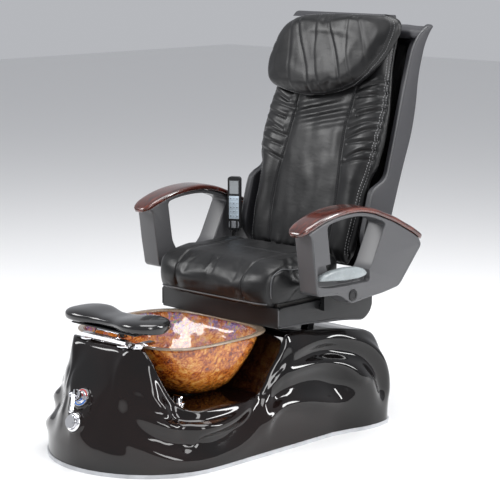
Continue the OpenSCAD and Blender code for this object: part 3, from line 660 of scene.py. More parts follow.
def tube(name: str, points: list[Vector], radius: float, closed: bool = False,
         sides: int = 8) -> bpy.types.Object:
    """A round bead along points.

    Args:
        name: Its name.
        points: Its centre line.
        radius: Its radius.
        closed: Whether it closes.
        sides: Faces around it.

    Returns:
        The bead.
    """
    rings: list[Vector] = []
    n = len(points)
    side = None
    for i, here in enumerate(points):
        ahead = points[(i + 1) % n] if closed else points[min(i + 1, n - 1)]
        behind = points[i - 1] if closed else points[max(i - 1, 0)]
        way = (ahead - behind).normalized()
        side = way.orthogonal() if side is None else side - way * side.dot(way)
        side.normalize()
        other = way.cross(side)
        rings += [here + radius * (math.cos(2 * math.pi * k / sides) * side
                                   + math.sin(2 * math.pi * k / sides) * other) for k in range(sides)]
    faces = grid_faces(n, sides, True)
    if closed:
        faces += [((n - 1) * sides + k, (n - 1) * sides + (k + 1) % sides, (k + 1) % sides, k)
                  for k in range(sides)]
    else:
        faces += [tuple(range(sides)), tuple((n - 1) * sides + k for k in range(sides))]
    return piece(name, rings, faces)


def laid_on(points: list[Vector], target: bpy.types.Object, way: Vector, lift: float) -> list[Vector]:
    """Drops points onto a piece's surface.

    Args:
        points: Points near the surface.
        target: The piece.
        way: The direction in which they drop.
        lift: How far above the surface they end.

    Returns:
        The points on the surface; a point that misses is left out.
    """
    bpy.context.view_layer.update()
    world = target.matrix_world
    back = world.inverted()
    turned = back.to_3x3()
    found = []
    for p in points:
        hit, place, normal, _ = target.ray_cast(back @ (p - way * 0.3), turned @ way)
        if hit:
            found.append(world @ (place + normal * lift))
    return found


def stitches(name: str, points: list[Vector], length: float, gap: float, radius: float,
             look: Look, body: str) -> bpy.types.Object:
    """A run of single stitches along points.

    Args:
        name: The piece's name.
        points: The seam, evenly spaced.
        length: Length of a stitch.
        gap: Space between stitches.
        radius: The thread's radius.
        look: The thread's finish.
        body: The body it rides on.

    Returns:
        All stitches as one piece.
    """
    vertices: list[Vector] = []
    faces: list[tuple[int, ...]] = []
    run = 0.0
    sides = 5
    start = points[0]
    for a, b in zip(points, points[1:]):
        run += (b - a).length
        if run < length + gap:
            continue
        way = (b - start)
        end = start + way * (length / max(way.length, 1e-9))
        mid = (start + end) / 2
        way.normalize()
        side = way.orthogonal().normalized()
        other = way.cross(side)
        base = len(vertices)
        for place, r in ((start, 0.35), (start.lerp(mid, 0.4), 1.0), (mid, 1.15), (end.lerp(mid, 0.4), 1.0),
                         (end, 0.35)):
            vertices += [place + radius * r * (math.cos(2 * math.pi * k / sides) * side
                                               + math.sin(2 * math.pi * k / sides) * other)
                         for k in range(sides)]
        faces += [tuple(base + i for i in f) for f in grid_faces(5, sides, True)]
        faces += [tuple(base + k for k in range(sides)), tuple(base + 4 * sides + k for k in range(sides))]
        start = b
        run = 0.0
    made = piece(name, vertices, faces)
    return smooth(made, look, body)


def inflate(obj: bpy.types.Object, voxel: float, pressure: float, cap: float) -> None:
    """Fills a closed cover like a stuffed cushion, by cloth simulation.

    Args:
        obj: The closed cover.
        voxel: Size of its cloth cells.
        pressure: How hard it is stuffed.
        cap: The farthest a point may move.
    """
    remesh = obj.modifiers.new("cells", "REMESH")
    remesh.mode = "VOXEL"
    remesh.voxel_size = voxel
    apply_modifiers(obj)
    rest = np.array([v.co for v in obj.data.vertices], float)
    cloth = obj.modifiers.new("cover", "CLOTH")
    cloth.settings.use_pressure = True
    cloth.settings.uniform_pressure_force = pressure
    cloth.settings.quality = 4
    cloth.settings.tension_stiffness = 25.0
    cloth.settings.compression_stiffness = 25.0
    cloth.settings.bending_stiffness = 2.0
    cloth.settings.effector_weights.gravity = 0.0
    cloth.point_cache.frame_start, cloth.point_cache.frame_end = 1, 20
    scene = bpy.context.scene
    for f in range(1, 21):
        scene.frame_set(f)
    depsgraph = bpy.context.evaluated_depsgraph_get()
    moved = np.array([v.co for v in obj.evaluated_get(depsgraph).data.vertices], float)
    obj.modifiers.clear()
    scene.frame_set(1)
    shift = moved - rest
    far = np.linalg.norm(shift, axis=1, keepdims=True)
    shift *= np.minimum(1.0, cap / np.maximum(far, 1e-9))
    for v, p in zip(obj.data.vertices, rest + shift):
        v.co = p


def relax(obj: bpy.types.Object, rounds: int) -> None:
    """Smooths a piece's surface."""
    made = obj.modifiers.new("relax", "SMOOTH")
    made.factor = 0.5
    made.iterations = rounds
    apply_modifiers(obj)


def reshape(obj: bpy.types.Object, move: Callable[[np.ndarray, np.ndarray], np.ndarray]) -> None:
    """Moves each point along its normal.

    Args:
        obj: The piece.
        move: Gives each point's distance in metres, from all places and all normals.
    """
    mesh = obj.data
    count = len(mesh.vertices)
    place, normal = np.zeros(count * 3, np.float32), np.zeros(count * 3, np.float32)
    mesh.vertices.foreach_get("co", place)
    mesh.vertices.foreach_get("normal", normal)
    place, normal = place.reshape(-1, 3), normal.reshape(-1, 3)
    place = place + normal * move(place, normal)[:, None]
    mesh.vertices.foreach_set("co", place.astype(np.float32).ravel())
    mesh.update()


class Trail:
    """A smooth line on a surface, which tells how far places are from it."""

    def __init__(self, points: list[tuple[float, float]]) -> None:
        """Draws the line.

        Args:
            points: Points on the line, two coordinates each, in metres.
        """
        line = smooth_line([(a, b, 0.0) for a, b in points], 0.01)
        self.points = np.array([p[:2] for p in line])

    def far(self, u: np.ndarray, v: np.ndarray) -> np.ndarray:
        """Distance of places from the line.

        Args:
            u: First coordinates.
            v: Second coordinates.

        Returns:
            The distances.
        """
        nearest = np.full(len(u), 9.0)
        for a, b in zip(self.points, self.points[1:]):
            d = b - a
            t = np.clip(((u - a[0]) * d[0] + (v - a[1]) * d[1]) / max(float(d @ d), 1e-12), 0, 1)
            nearest = np.minimum(nearest, np.hypot(u - a[0] - t * d[0], v - a[1] - t * d[1]))
        return nearest

    def bead(self, u: np.ndarray, v: np.ndarray, width: float) -> np.ndarray:
        """A soft bump along the line, 1 on it and about 0 at twice the width."""
        return np.exp(-(self.far(u, v) / width) ** 2)


def smooth_steps(values: np.ndarray, low: float, high: float) -> np.ndarray:
    """A smooth step from 0 at low to 1 at high, for many values."""
    c = np.clip((values - low) / (high - low), 0, 1)
    return c * c * (3 - 2 * c)


def ripples(place: np.ndarray, scale: float, seed: float) -> np.ndarray:
    """Soft lumps from about -1 to 1.

    Args:
        place: The places.
        scale: Lumps per metre.
        seed: A shift that gives another pattern.

    Returns:
        The height of the lumps at each place.
    """
    return np.array([noise.noise(Vector(p) * scale + Vector((seed, seed, seed))) for p in place])


def rounded(points: list[tuple[float, float]], radius: float, steps: int = 5) -> list[tuple[float, float]]:
    """Rounds the corners of a closed outline.

    Args:
        points: Its corners.
        radius: The largest radius of a corner.
        steps: Points in a corner.

    Returns:
        The rounded outline.
    """
    out: list[tuple[float, float]] = []
    for i, here in enumerate(points):
        p = Vector(here)
        back, ahead = Vector(points[i - 1]) - p, Vector(points[(i + 1) % len(points)]) - p
        cut = min(radius, back.length * 0.45, ahead.length * 0.45)
        a, b = p + back.normalized() * cut, p + ahead.normalized() * cut
        for k in range(steps + 1):
            t = k / steps
            q = a * (1 - t) ** 2 + p * (2 * t * (1 - t)) + b * t ** 2
            out.append((q.x, q.y))
    return out


def slab(name: str, loops: list[list[tuple[float, float]]], low: float, high: float,
         edge: float) -> bpy.types.Object:
    """A panel of even thickness with rounded edges, drawn as (y, z) and standing along X.

    Args:
        name: Its name.
        loops: Its outline, then any windows.
        low: Its lower x.
        high: Its higher x.
        edge: The radius of its edges.

    Returns:
        The panel.
    """
    curve = bpy.data.curves.new(name, "CURVE")
    curve.dimensions, curve.fill_mode = "2D", "BOTH"
    curve.extrude = (high - low) / 2 - edge
    curve.bevel_depth, curve.bevel_resolution, curve.offset = edge, 3, -edge
    for loop in loops:
        spline = curve.splines.new("POLY")
        spline.points.add(len(loop) - 1)
        for point, (y, z) in zip(spline.points, loop):
            point.co = (y, z, 0.0, 1.0)
        spline.use_cyclic_u = True
    drawn = bpy.data.objects.new(name, curve)
    bpy.context.collection.objects.link(drawn)
    mesh = bpy.data.meshes.new_from_object(drawn.evaluated_get(bpy.context.evaluated_depsgraph_get()))
    bpy.data.objects.remove(drawn)
    mesh.transform(Matrix(((0, 0, 1, (low + high) / 2), (1, 0, 0, 0), (0, 1, 0, 0), (0, 0, 0, 1))))
    mesh.name = name
    obj = bpy.data.objects.new(name, mesh)
    bpy.context.collection.objects.link(obj)
    bm = bmesh.new()
    bm.from_mesh(mesh)
    bmesh.ops.remove_doubles(bm, verts=bm.verts, dist=1e-5)
    bmesh.ops.recalc_face_normals(bm, faces=bm.faces)
    bm.to_mesh(mesh)
    bm.free()
    return obj


def turned(name: str, profile: list[tuple[float, float]], foot: Vector, axis: Vector,
           sides: int = 40) -> bpy.types.Object:
    """A round piece turned about an axis.

    Args:
        name: Its name.
        profile: Pairs of radius and height.
        foot: Where height 0 is.
        axis: Its axis.
        sides: Faces around it.

    Returns:
        The piece.
    """
    rings = [[(r * math.cos(2 * math.pi * k / sides), r * math.sin(2 * math.pi * k / sides), h)
              for k in range(sides)] for r, h in profile]
    made = loft(name, rings)
    made.data.transform(Matrix.Translation(foot) @ axis.to_track_quat("Z", "Y").to_matrix().to_4x4())
    return made


def sharp(obj: bpy.types.Object, degrees: float = 35.0) -> bpy.types.Object:
    """Shades a hard piece smooth, but keeps its sharp edges."""
    obj.data.shade_smooth()
    obj.data.set_sharp_from_angle(angle=math.radians(degrees))
    return obj


def along(table: list[tuple[float, float]], value: float) -> float:
    """Reads a table of (place, size) with smooth steps between its rows."""
    if value <= table[0][0]:
        return table[0][1]
    for (a, x), (b, y) in zip(table, table[1:]):
        if value <= b:
            return x + (y - x) * (0.5 * ease((value - a) / (b - a)) + 0.5 * (value - a) / (b - a))
    return table[-1][1]


# ---- the chair's places ----

LEAN = math.radians(16)
BACK = Matrix.Translation((0, 0.330, 0.480)) @ Matrix.Rotation(-LEAN, 4, "X")
BACK_WAY = (BACK.to_3x3() @ Vector((0, 1, 0))).normalized()


def on_back(x: float, depth: float, height: float) -> Vector:
    """A place given in the back's own frame, which leans with it."""
    return BACK @ Vector((x, depth, height))


@dataclass
class GelcoatBase:
    """The moulded base: its smooth shell with ridges and hollows, and the plinths of its fittings."""

    nose_y: float = -0.765
    widest_y: float = -0.450
    corner_y: float = 0.250
    rear_y: float = 0.412
    half_w: float = 0.326
    rear_half_w: float = 0.360
    corner_n: float = 3.5
    wall: float = 0.005
    plinths: tuple[tuple[float, float, float], ...] = ((-0.723, 0.222, 30.0), (-0.754, 0.150, 18.0))

    def width(self, y: float) -> float:
        """Half width of the base at the floor."""
        if y < self.widest_y:
            nose = self.widest_y - self.nose_y
            return self.half_w * math.sqrt(max(0.0, 1 - ((self.widest_y - y) / nose) ** 2))
        if y < self.corner_y:
            return self.half_w + (self.rear_half_w - self.half_w) * ease((y - 0.08) / (self.corner_y - 0.08))
        t = (y - self.corner_y) / (self.rear_y - self.corner_y)
        return self.rear_half_w * max(0.0, 1 - t ** self.corner_n) ** (1 / self.corner_n)

    def crest(self, y: float) -> float:
        """Height of the shell's centre line."""
        return along([
            (-0.765, 0.118), (-0.747, 0.172), (-0.725, 0.216), (-0.703, 0.256), (-0.677, 0.308),
            (-0.655, 0.373), (-0.645, 0.385), (-0.600, 0.385), (-0.592, 0.347), (-0.575, 0.290),
            (-0.555, 0.240), (-0.534, 0.202), (-0.515, 0.190), (-0.225, 0.190), (-0.211, 0.202),
            (-0.189, 0.236), (-0.155, 0.278), (-0.123, 0.318), (-0.111, 0.354), (-0.105, 0.370),
            (0.150, 0.348), (0.270, 0.328), (0.330, 0.306), (0.360, 0.282), (0.382, 0.244),
            (0.400, 0.196), (0.412, 0.156)], y)

    def top_width(self, y: float) -> float:
        """Half width of the shell's top."""
        if y < -0.5:
            return min(along([(-0.765, 0.022), (-0.727, 0.062), (-0.680, 0.100), (-0.655, 0.122),
                              (-0.617, 0.168), (-0.600, 0.176), (-0.555, 0.216), (-0.500, 0.280)], y),
                       self.width(y) - 0.002)
        return max(self.width(y) - 0.042 - 0.022 * ease((y - 0.150) / 0.160), 0.020)

    def rounded_off(self, form: Callable[[float], float], y: float) -> float:
        """A form's value with its corners rounded, by averaging it over a short stretch."""
        near = min(0.016, y - self.nose_y, self.rear_y - y)
        return sum(form(y + near * k / 5) for k in range(-5, 6)) / 11

    def section(self, y: float) -> list[Point]:
        """One cross ring of the shell, from the right foot over the top to the left foot."""
        h, w = self.rounded_off(self.crest, y), max(self.width(y), 0.0003)
        top = max(min(self.rounded_off(self.top_width, y), w - 0.0001), 0.0002)
        hollow = 1 - ease((y + 0.570) / 0.070)
        start = min(0.110 - 0.050 * hollow, 0.6 * h)
        side: list[tuple[float, float]] = [(w, 0.0), (w, 0.012), (w, 0.012 + (start - 0.012) * 0.35),
                                           (w, 0.012 + (start - 0.012) * 0.7), (w, start)]
        count = 22
        for k in range(1, count):
            t = 0.97 * k / count
            out = hollow * (1 - ease(t)) + (1 - hollow) * (1 - t * t)
            side.append((top + (w - top) * out, start + (h - start) * t))
        lip = min(0.008, top / 2)
        side += [(top - lip * 0.35, h - 0.0015), (top - lip, h), (top - 2.4 * lip if top > 0.03 else top * 0.5, h)]
        side += [(top * f, h) for f in (0.80, 0.60, 0.40, 0.20)] if top > 0.1 else []
        right = [(-x, y, z) for x, z in side]
        left = [(x, y, z) for x, z in reversed(side)]
        return right + [(0.0, y, h)] + left

    def stations(self) -> list[float]:
        """Places of the cross rings, closer together where the shell turns."""
        marks = [(self.nose_y + 0.0010, -0.74, 10), (-0.74, -0.52, 52), (-0.52, -0.23, 22), (-0.23, -0.09, 40),
                 (-0.09, 0.24, 26), (0.24, 0.40, 24), (0.40, self.rear_y - 0.0004, 12)]
        out: list[float] = [self.nose_y + d for d in (0.0, 0.0001, 0.0003, 0.0006)]
        for a, b, n in marks:
            out += [a + (b - a) * k / n for k in range(n)]
        return out + [self.rear_y - d for d in (0.0004, 0.0001, 0.00002, 0.000002, 0.0)]

    def relief(self, place: np.ndarray, normal: np.ndarray) -> np.ndarray:
        """Ridges, channels and hollows of the shell, by place."""
        y, z = place[:, 1], place[:, 2]
        side = smooth_steps(np.abs(normal[:, 0]), 0.15, 0.9)
        rim = Trail([(-0.64, 0.275), (-0.622, 0.232), (-0.58, 0.205), (-0.517, 0.194), (-0.408, 0.182),
                     (-0.308, 0.184), (-0.240, 0.210), (-0.182, 0.246), (-0.136, 0.290)])
        gutter = Trail([(-0.645, 0.235), (-0.60, 0.182), (-0.515, 0.168), (-0.407, 0.162), (-0.31, 0.178),
                        (-0.245, 0.205), (-0.18, 0.243), (-0.10, 0.300)])
        fold = Trail([(-0.654, 0.270), (-0.668, 0.217), (-0.650, 0.178), (-0.60, 0.153), (-0.505, 0.140),
                      (-0.407, 0.143), (-0.317, 0.168), (-0.249, 0.197), (-0.180, 0.234), (-0.086, 0.288),
                      (0.034, 0.318), (0.158, 0.312), (0.265, 0.272), (0.330, 0.200), (0.362, 0.100)])
        channel = Trail([(-0.70, 0.205), (-0.675, 0.150), (-0.61, 0.108), (-0.50, 0.092), (-0.40, 0.098),
                         (-0.30, 0.130), (-0.235, 0.180), (-0.16, 0.240), (-0.05, 0.285), (0.07, 0.292),
                         (0.20, 0.262), (0.275, 0.200), (0.31, 0.120)])
        swoosh = Trail([(-0.694, 0.229), (-0.714, 0.180), (-0.707, 0.140), (-0.66, 0.085), (-0.58, 0.052),
                        (-0.471, 0.045), (-0.360, 0.062), (-0.281, 0.103), (-0.224, 0.170), (-0.154, 0.228),
                        (-0.084, 0.252), (0.037, 0.256), (0.140, 0.228), (0.200, 0.180)])
        hollow = Trail([(-0.165, 0.185), (-0.07, 0.205), (0.03, 0.200), (0.12, 0.165)])
        brow = Trail([(-0.245, 0.095), (-0.205, 0.130), (-0.14, 0.150), (-0.059, 0.146), (0.03, 0.124),
                      (0.10, 0.104)])
        lift = (0.006 * rim.bead(y, z, 0.012) - 0.008 * gutter.bead(y, z, 0.015)
                + 0.014 * fold.bead(y, z, 0.019) - 0.020 * channel.bead(y, z, 0.030)
                + 0.017 * swoosh.bead(y, z, 0.021) - 0.022 * hollow.bead(y, z, 0.042)
                + 0.013 * brow.bead(y, z, 0.018))
        lift *= side * smooth_steps(z, 0.014, 0.045)
        flank = smooth_steps(-y, 0.60, 0.64) * smooth_steps(z, 0.05, 0.14) * smooth_steps(0.375 - z, 0.0, 0.02)
        around = np.arctan2(np.abs(place[:, 0]), -(y + 0.62) + 0.06)
        lift += 0.0045 * flank * np.cos(around * 9.0 + 2.4 * np.sin(z * 14.0)) * smooth_steps(around, 0.35, 0.7)
        for py, pz, _ in self.plinths:
            near = np.hypot(np.hypot(place[:, 0], y - py), z - pz)
            lift *= smooth_steps(near, 0.030, 0.050)
        return lift

    def build(self) -> None:
        """Makes the shell and the plinths."""
        rings = [self.section(y) for y in self.stations()]
        count = 2 * len(max(rings, key=len)) - 1
        even = [smooth_ring(ring, count) for ring in rings]
        faces = grid_faces(len(even), count, False)
        shell = piece("gelcoat_shell", [p for ring in even for p in ring], faces)
        seams = bmesh.new()
        seams.from_mesh(shell.data)
        bmesh.ops.remove_doubles(seams, verts=seams.verts, dist=0.0008)
        seams.to_mesh(shell.data)
        seams.free()
        reshape(shell, self.relief)
        relax(shell, 14)
        thick = shell.modifiers.new("wall", "SOLIDIFY")
        thick.thickness, thick.offset = self.wall, -1.0
        apply_modifiers(shell)
        sharp(smooth(shell, Look.GELCOAT, "base"), 60)
        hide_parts("base_shell")
        for number, (y, z, face_lean) in enumerate(self.plinths):
            a = math.radians(face_lean)
            out = Vector((0, -math.cos(a), math.sin(a)))
            plinth = turned(f"plinth_{number + 1}", [
                (0.044, -0.016), (0.040, -0.006), (0.035, 0.0005), (0.032, 0.0032), (0.029, 0.004),
                (0.010, 0.004)], Vector((0, y, z)), out)
            smooth(plinth, Look.GELCOAT, "base")


def smooth_ring(ring: list[Point], count: int) -> list[Point]:
    """Spreads the points of an open cross ring evenly by their order, so that all rings have as many."""
    out = []
    for k in range(count):
        t = k * (len(ring) - 1) / (count - 1)
        i = min(int(t), len(ring) - 2)
        out.append(tuple(a + (b - a) * (t - i) for a, b in zip(ring[i], ring[i + 1])))
    return out


@dataclass
class FootBowl:
    """The hammered glass bowl."""

    half_w: float = 0.275
    rim_z: float = 0.385
    wall: float = 0.007
    power: float = 3.6
    sides: int = 128
    form: tuple[tuple[float, float, float, float], ...] = (
        (0.196, 0.140, -0.405, -0.245), (0.200, 0.160, -0.420, -0.236), (0.206, 0.172, -0.430, -0.232),
        (0.222, 0.194, -0.455, -0.222), (0.240, 0.212, -0.478, -0.212), (0.265, 0.228, -0.507, -0.192),
        (0.290, 0.240, -0.530, -0.172), (0.320, 0.249, -0.550, -0.148), (0.350, 0.256, -0.566, -0.128),
        (0.377, 0.262, -0.578, -0.116))

    def ring(self, z: float, half_w: float, front: float, rear: float) -> list[Point]:
        """One ring of the bowl."""
        middle, half_l = (front + rear) / 2, (rear - front) / 2
        out = []
        for k in range(self.sides):
            c, s = math.cos(2 * math.pi * k / self.sides), math.sin(2 * math.pi * k / self.sides)
            out.append((half_w * math.copysign(abs(c) ** (2 / self.power), c),
                        middle + half_l * math.copysign(abs(s) ** (2 / self.power), s), z))
        return out

    def build(self) -> None:
        """Makes the bowl: outer wall, rolled rim and inner wall in one skin, with blown-glass waves."""
        rings: list[list[Point]] = []
        for low, high in zip(self.form, self.form[1:]):
            for k in range(3):
                rings.append(self.ring(*[a + (b - a) * k / 3 for a, b in zip(low, high)]))
        last = self.form[-1]
        rings.append(self.ring(*last))
        for out, up in ((0.008, 0.000), (0.0125, 0.002), (0.0130, 0.004), (0.0125, 0.0065), (0.009, 0.008),
                        (0.000, 0.008), (-0.005, 0.007), (-0.007, 0.003)):
            rings.append(self.ring(last[0] + up, last[1] + out, last[2] - out * 0.8, last[3] + out * 1.6))
        inner = [(z + self.wall * 0.9 if z < 0.21 else z, w - self.wall, f + self.wall, r - self.wall)
                 for z, w, f, r in self.form]
        for high, low in zip(inner[:0:-1], inner[-2::-1]):
            for k in range(3):
                rings.append(self.ring(*[a + (b - a) * k / 3 for a, b in zip(high, low)]))
        rings.append(self.ring(*inner[0]))
        bowl = loft("glass_bowl", rings)
        reshape(bowl, lambda place, normal: 0.0014 * ripples(place * np.array([1, 1, 0.8]), 42.0, 3.1)
                * smooth_steps(self.rim_z - 0.006 - place[:, 2], 0.0, 0.012)
                * smooth_steps(place[:, 2], 0.205, 0.225))
        smooth(bowl, Look.GLASS, "base")
        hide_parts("bowl")


@dataclass
class FrontFittings:
    """Rings and beads that finish the mixer and the knobs."""

    ring_r: float = 0.0245

    def build(self) -> None:
        """Makes the two-colour ring of the mixer, and the collars round the knobs."""
        a = math.radians(30)
        out = Vector((0, -math.cos(a), math.sin(a)))
        foot = Vector((0, -0.723, 0.222)) + out * 0.0085
        up = Vector((0, math.sin(a), math.cos(a)))
        for name, look, start in (("warm_ring", Look.RED, 20), ("cold_ring", Look.BLUE, 200)):
            arc = []
            for k in range(17):
                t = math.radians(start + 150 * k / 16)
                arc.append(foot + self.ring_r * (math.cos(t) * Vector((1, 0, 0)) + math.sin(t) * up))
            smooth(tube(name, arc, 0.0022), look, "base")
        a = math.radians(18)
        out = Vector((0, -math.cos(a), math.sin(a)))
        collar = turned("diverter_collar", [(0.030, 0.001), (0.030, 0.006), (0.028, 0.0095), (0.0245, 0.0105),
                                            (0.0225, 0.0095), (0.0225, 0.006)],
                        Vector((0, -0.754, 0.150)) + out * 0.003, out)
        smooth(collar, Look.CHROME, "base")
        smooth(turned("drain_collar", [(0.024, 0.0), (0.024, 0.0025), (0.0215, 0.005), (0.018, 0.0055)],
                      Vector((0.172, -0.478, 0.190)), Vector((0, 0, 1))), Look.CHROME, "base")


@dataclass
class Footrest:
    """The glossy two-lobed pad."""

    half_l: float = 0.205
    lobe: float = 0.084
    waist: float = 0.060
    middle_y: float = -0.575
    foot_z: float = 0.430
    thick: float = 0.044

    def build(self) -> None:
        """Makes the pad: full lobes at both ends and a lower saddle between them."""
        rings: list[list[Point]] = []
        count = 64
        for k in range(count + 1):
            s = -1 + 2 * k / count
            x = self.half_l * math.sin(s * math.pi / 2)
            far = abs(x)
            end = max(0.0, 1 - max(0.0, (far - (self.half_l - self.lobe)) / self.lobe) ** 2.2) ** 0.5
            share = ease((far - 0.02) / (self.half_l - self.lobe - 0.02))
            depth = max((self.waist + (self.lobe - self.waist) * share) * end, 0.004)
            height = (self.thick - 0.010 * (1 - share)) * (0.30 + 0.70 * end ** 0.6)
            low = self.foot_z + (self.thick - height) * 0.12
            ring = []
            for j in range(40):
                c, v = math.cos(2 * math.pi * j / 40), math.sin(2 * math.pi * j / 40)
                ring.append((x, self.middle_y + depth * math.copysign(abs(c) ** 0.62, c),
                             low + height / 2 + height / 2 * math.copysign(abs(v) ** 0.72, v)))
            rings.append(ring)
        pad = loft("footrest_cushion", rings)
        relax(pad, 3)
        smooth(pad, Look.FOOT, "footrest")
        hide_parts("footrest_pad")
        seam = [Vector((p.x, p.y, p.z)) for p in smooth_line([r[0] for r in rings[2:-2]], 0.006)]
        smooth(tube("footrest_seam", [p + Vector((0, 0.0008, -0.004)) for p in seam], 0.0016), Look.FOOT,
               "footrest")


@dataclass
class SeatCushion:
    """The seat cushion: front roll, sewn seams and piping."""

    seam_x: float = 0.155
    piping_x: float = 0.255
    swell: float = 0.010

    def build(self) -> None:
        """Makes the stuffed seat, its seams and its piping."""
        low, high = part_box("seat_cushion")
        half, start = high.x, self.swell
        front = [(-0.014, 0.002), (0.0, -0.008), (0.018, -0.012), (0.045, -0.014), (0.075, -0.010), (0.098, 0.002),
                 (0.116, 0.024),
                 (0.127, 0.062), (0.132, 0.10)]
        rings = []
        for up, back in front:
            draw = max(0.0, (up - 0.095) / 0.037) ** 2 * 0.030 + (0.006 if up < -0.01 else 0.0)
            w, y0, y1 = half - start * 0.3 - draw, low.y + back - 0.006, high.y - start - draw * 0.6
            ring = []
            for k in range(96):
                c, s = math.cos(2 * math.pi * k / 96), math.sin(2 * math.pi * k / 96)
                ring.append((w * math.copysign(abs(c) ** (2 / 6.5), c),
                             (y0 + y1) / 2 + (y1 - y0) / 2 * math.copysign(abs(s) ** (2 / 6.5), s),
                             low.z + up + (0.0 if up < 0.01 else -start * up / 0.14)))
            rings.append(ring)
        cushion = loft("seat_leather", rings)
        inflate(cushion, 0.0055, 4.0, 0.011)
        relax(cushion, 4)
        divide = cushion.modifiers.new("finer", "SUBSURF")
        divide.levels = divide.render_levels = 1
        apply_modifiers(cushion)
        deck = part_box("seat_deck")
        floor, hem = low.z + 0.0005, low.z - 0.016

        def sewn(place: np.ndarray, normal: np.ndarray) -> np.ndarray:
            """Grooves of the seams, pulled-in edges and soft puckers."""
            x, y, z = place.T
            seam = np.exp(-((np.abs(x) - self.seam_x - 0.02 * (y + 0.16)) / 0.0042) ** 2) * (z > low.z + 0.01)
            pull = np.exp(-((np.abs(x) - self.seam_x - 0.02 * (y + 0.16)) / 0.022) ** 2)
            cross = np.exp(-((y - 0.030) / 0.0045) ** 2) * (np.abs(x) < self.seam_x) * (normal[:, 2] > 0.5)
            edge = np.exp(-((np.abs(x) - self.piping_x) / 0.0055) ** 2)
            pucker = ripples(place * np.array([1.0, 0.45, 0.6]), 30.0, 5.0) * (0.5 + pull)
            return -0.0038 * seam - 0.0022 * pull - 0.0026 * cross - 0.0030 * edge + 0.0016 * pucker

        reshape(cushion, sewn)
        for v in cushion.data.vertices:
            inside = abs(v.co.x) < deck[1].x + 0.001 and v.co.y > deck[0].y - 0.001
            v.co.z = max(v.co.z, floor if inside else hem)
        smooth(cushion, Look.HIDE, "seat")
        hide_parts("seat_cushion")
        self.trim(cushion, low, high)

    def trim(self, cushion: bpy.types.Object, low: Vector, high: Vector) -> None:
        """Adds piping round the front roll and stitches beside the seams.

        Args:
            cushion: The finished cushion.
            low: Lowest corner of its space.
            high: Highest corner of its space.
        """
        ahead, down = Vector((0, 1, 0)), Vector((0, 0, -1))
        for s in (-1, 1):
            rise = laid_on([Vector((s * self.piping_x, low.y - 0.05, low.z + 0.020 + 0.004 * k)) for k in range(19)],
                           cushion, ahead, 0.0012)
            over = laid_on([Vector((s * self.piping_x, low.y + 0.058 + 0.005 * k, high.z + 0.05)) for k in range(50)],
                           cushion, down, 0.0012)
            line = smooth_line([tuple(p) for p in (rise + over)[::3]], 0.005)
            smooth(tube(f"seat_piping_{'right' if s < 0 else 'left'}", line, 0.0026), Look.PIPING, "seat")
            for side in (-1, 1):
                shift = s * self.seam_x + side * 0.0055
                rise = laid_on([Vector((shift, low.y - 0.05, low.z + 0.022 + 0.004 * k)) for k in range(18)],
                               cushion, ahead, 0.0004)
                over = laid_on([Vector((shift + s * 0.02 * (0.05 + 0.005 * k), low.y + 0.060 + 0.005 * k,
                                        high.z + 0.05)) for k in range(52)], cushion, down, 0.0004)
                line = smooth_line([tuple(p) for p in (rise + over)[::2]], 0.002)
                stitches(f"seat_stitches_{'right' if s < 0 else 'left'}_{'in' if side * s < 0 else 'out'}", line,
                         0.0038, 0.0016, 0.00045, Look.SEAM, "seat")
        lower = laid_on([Vector((-self.piping_x + 0.005 * k, low.y - 0.05, low.z + 0.001)) for k in range(103)],
                        cushion, ahead, 0.0014)
        smooth(tube("seat_piping_front", smooth_line([tuple(p) for p in lower[::4]], 0.005), 0.0028), Look.PIPING,
               "seat")


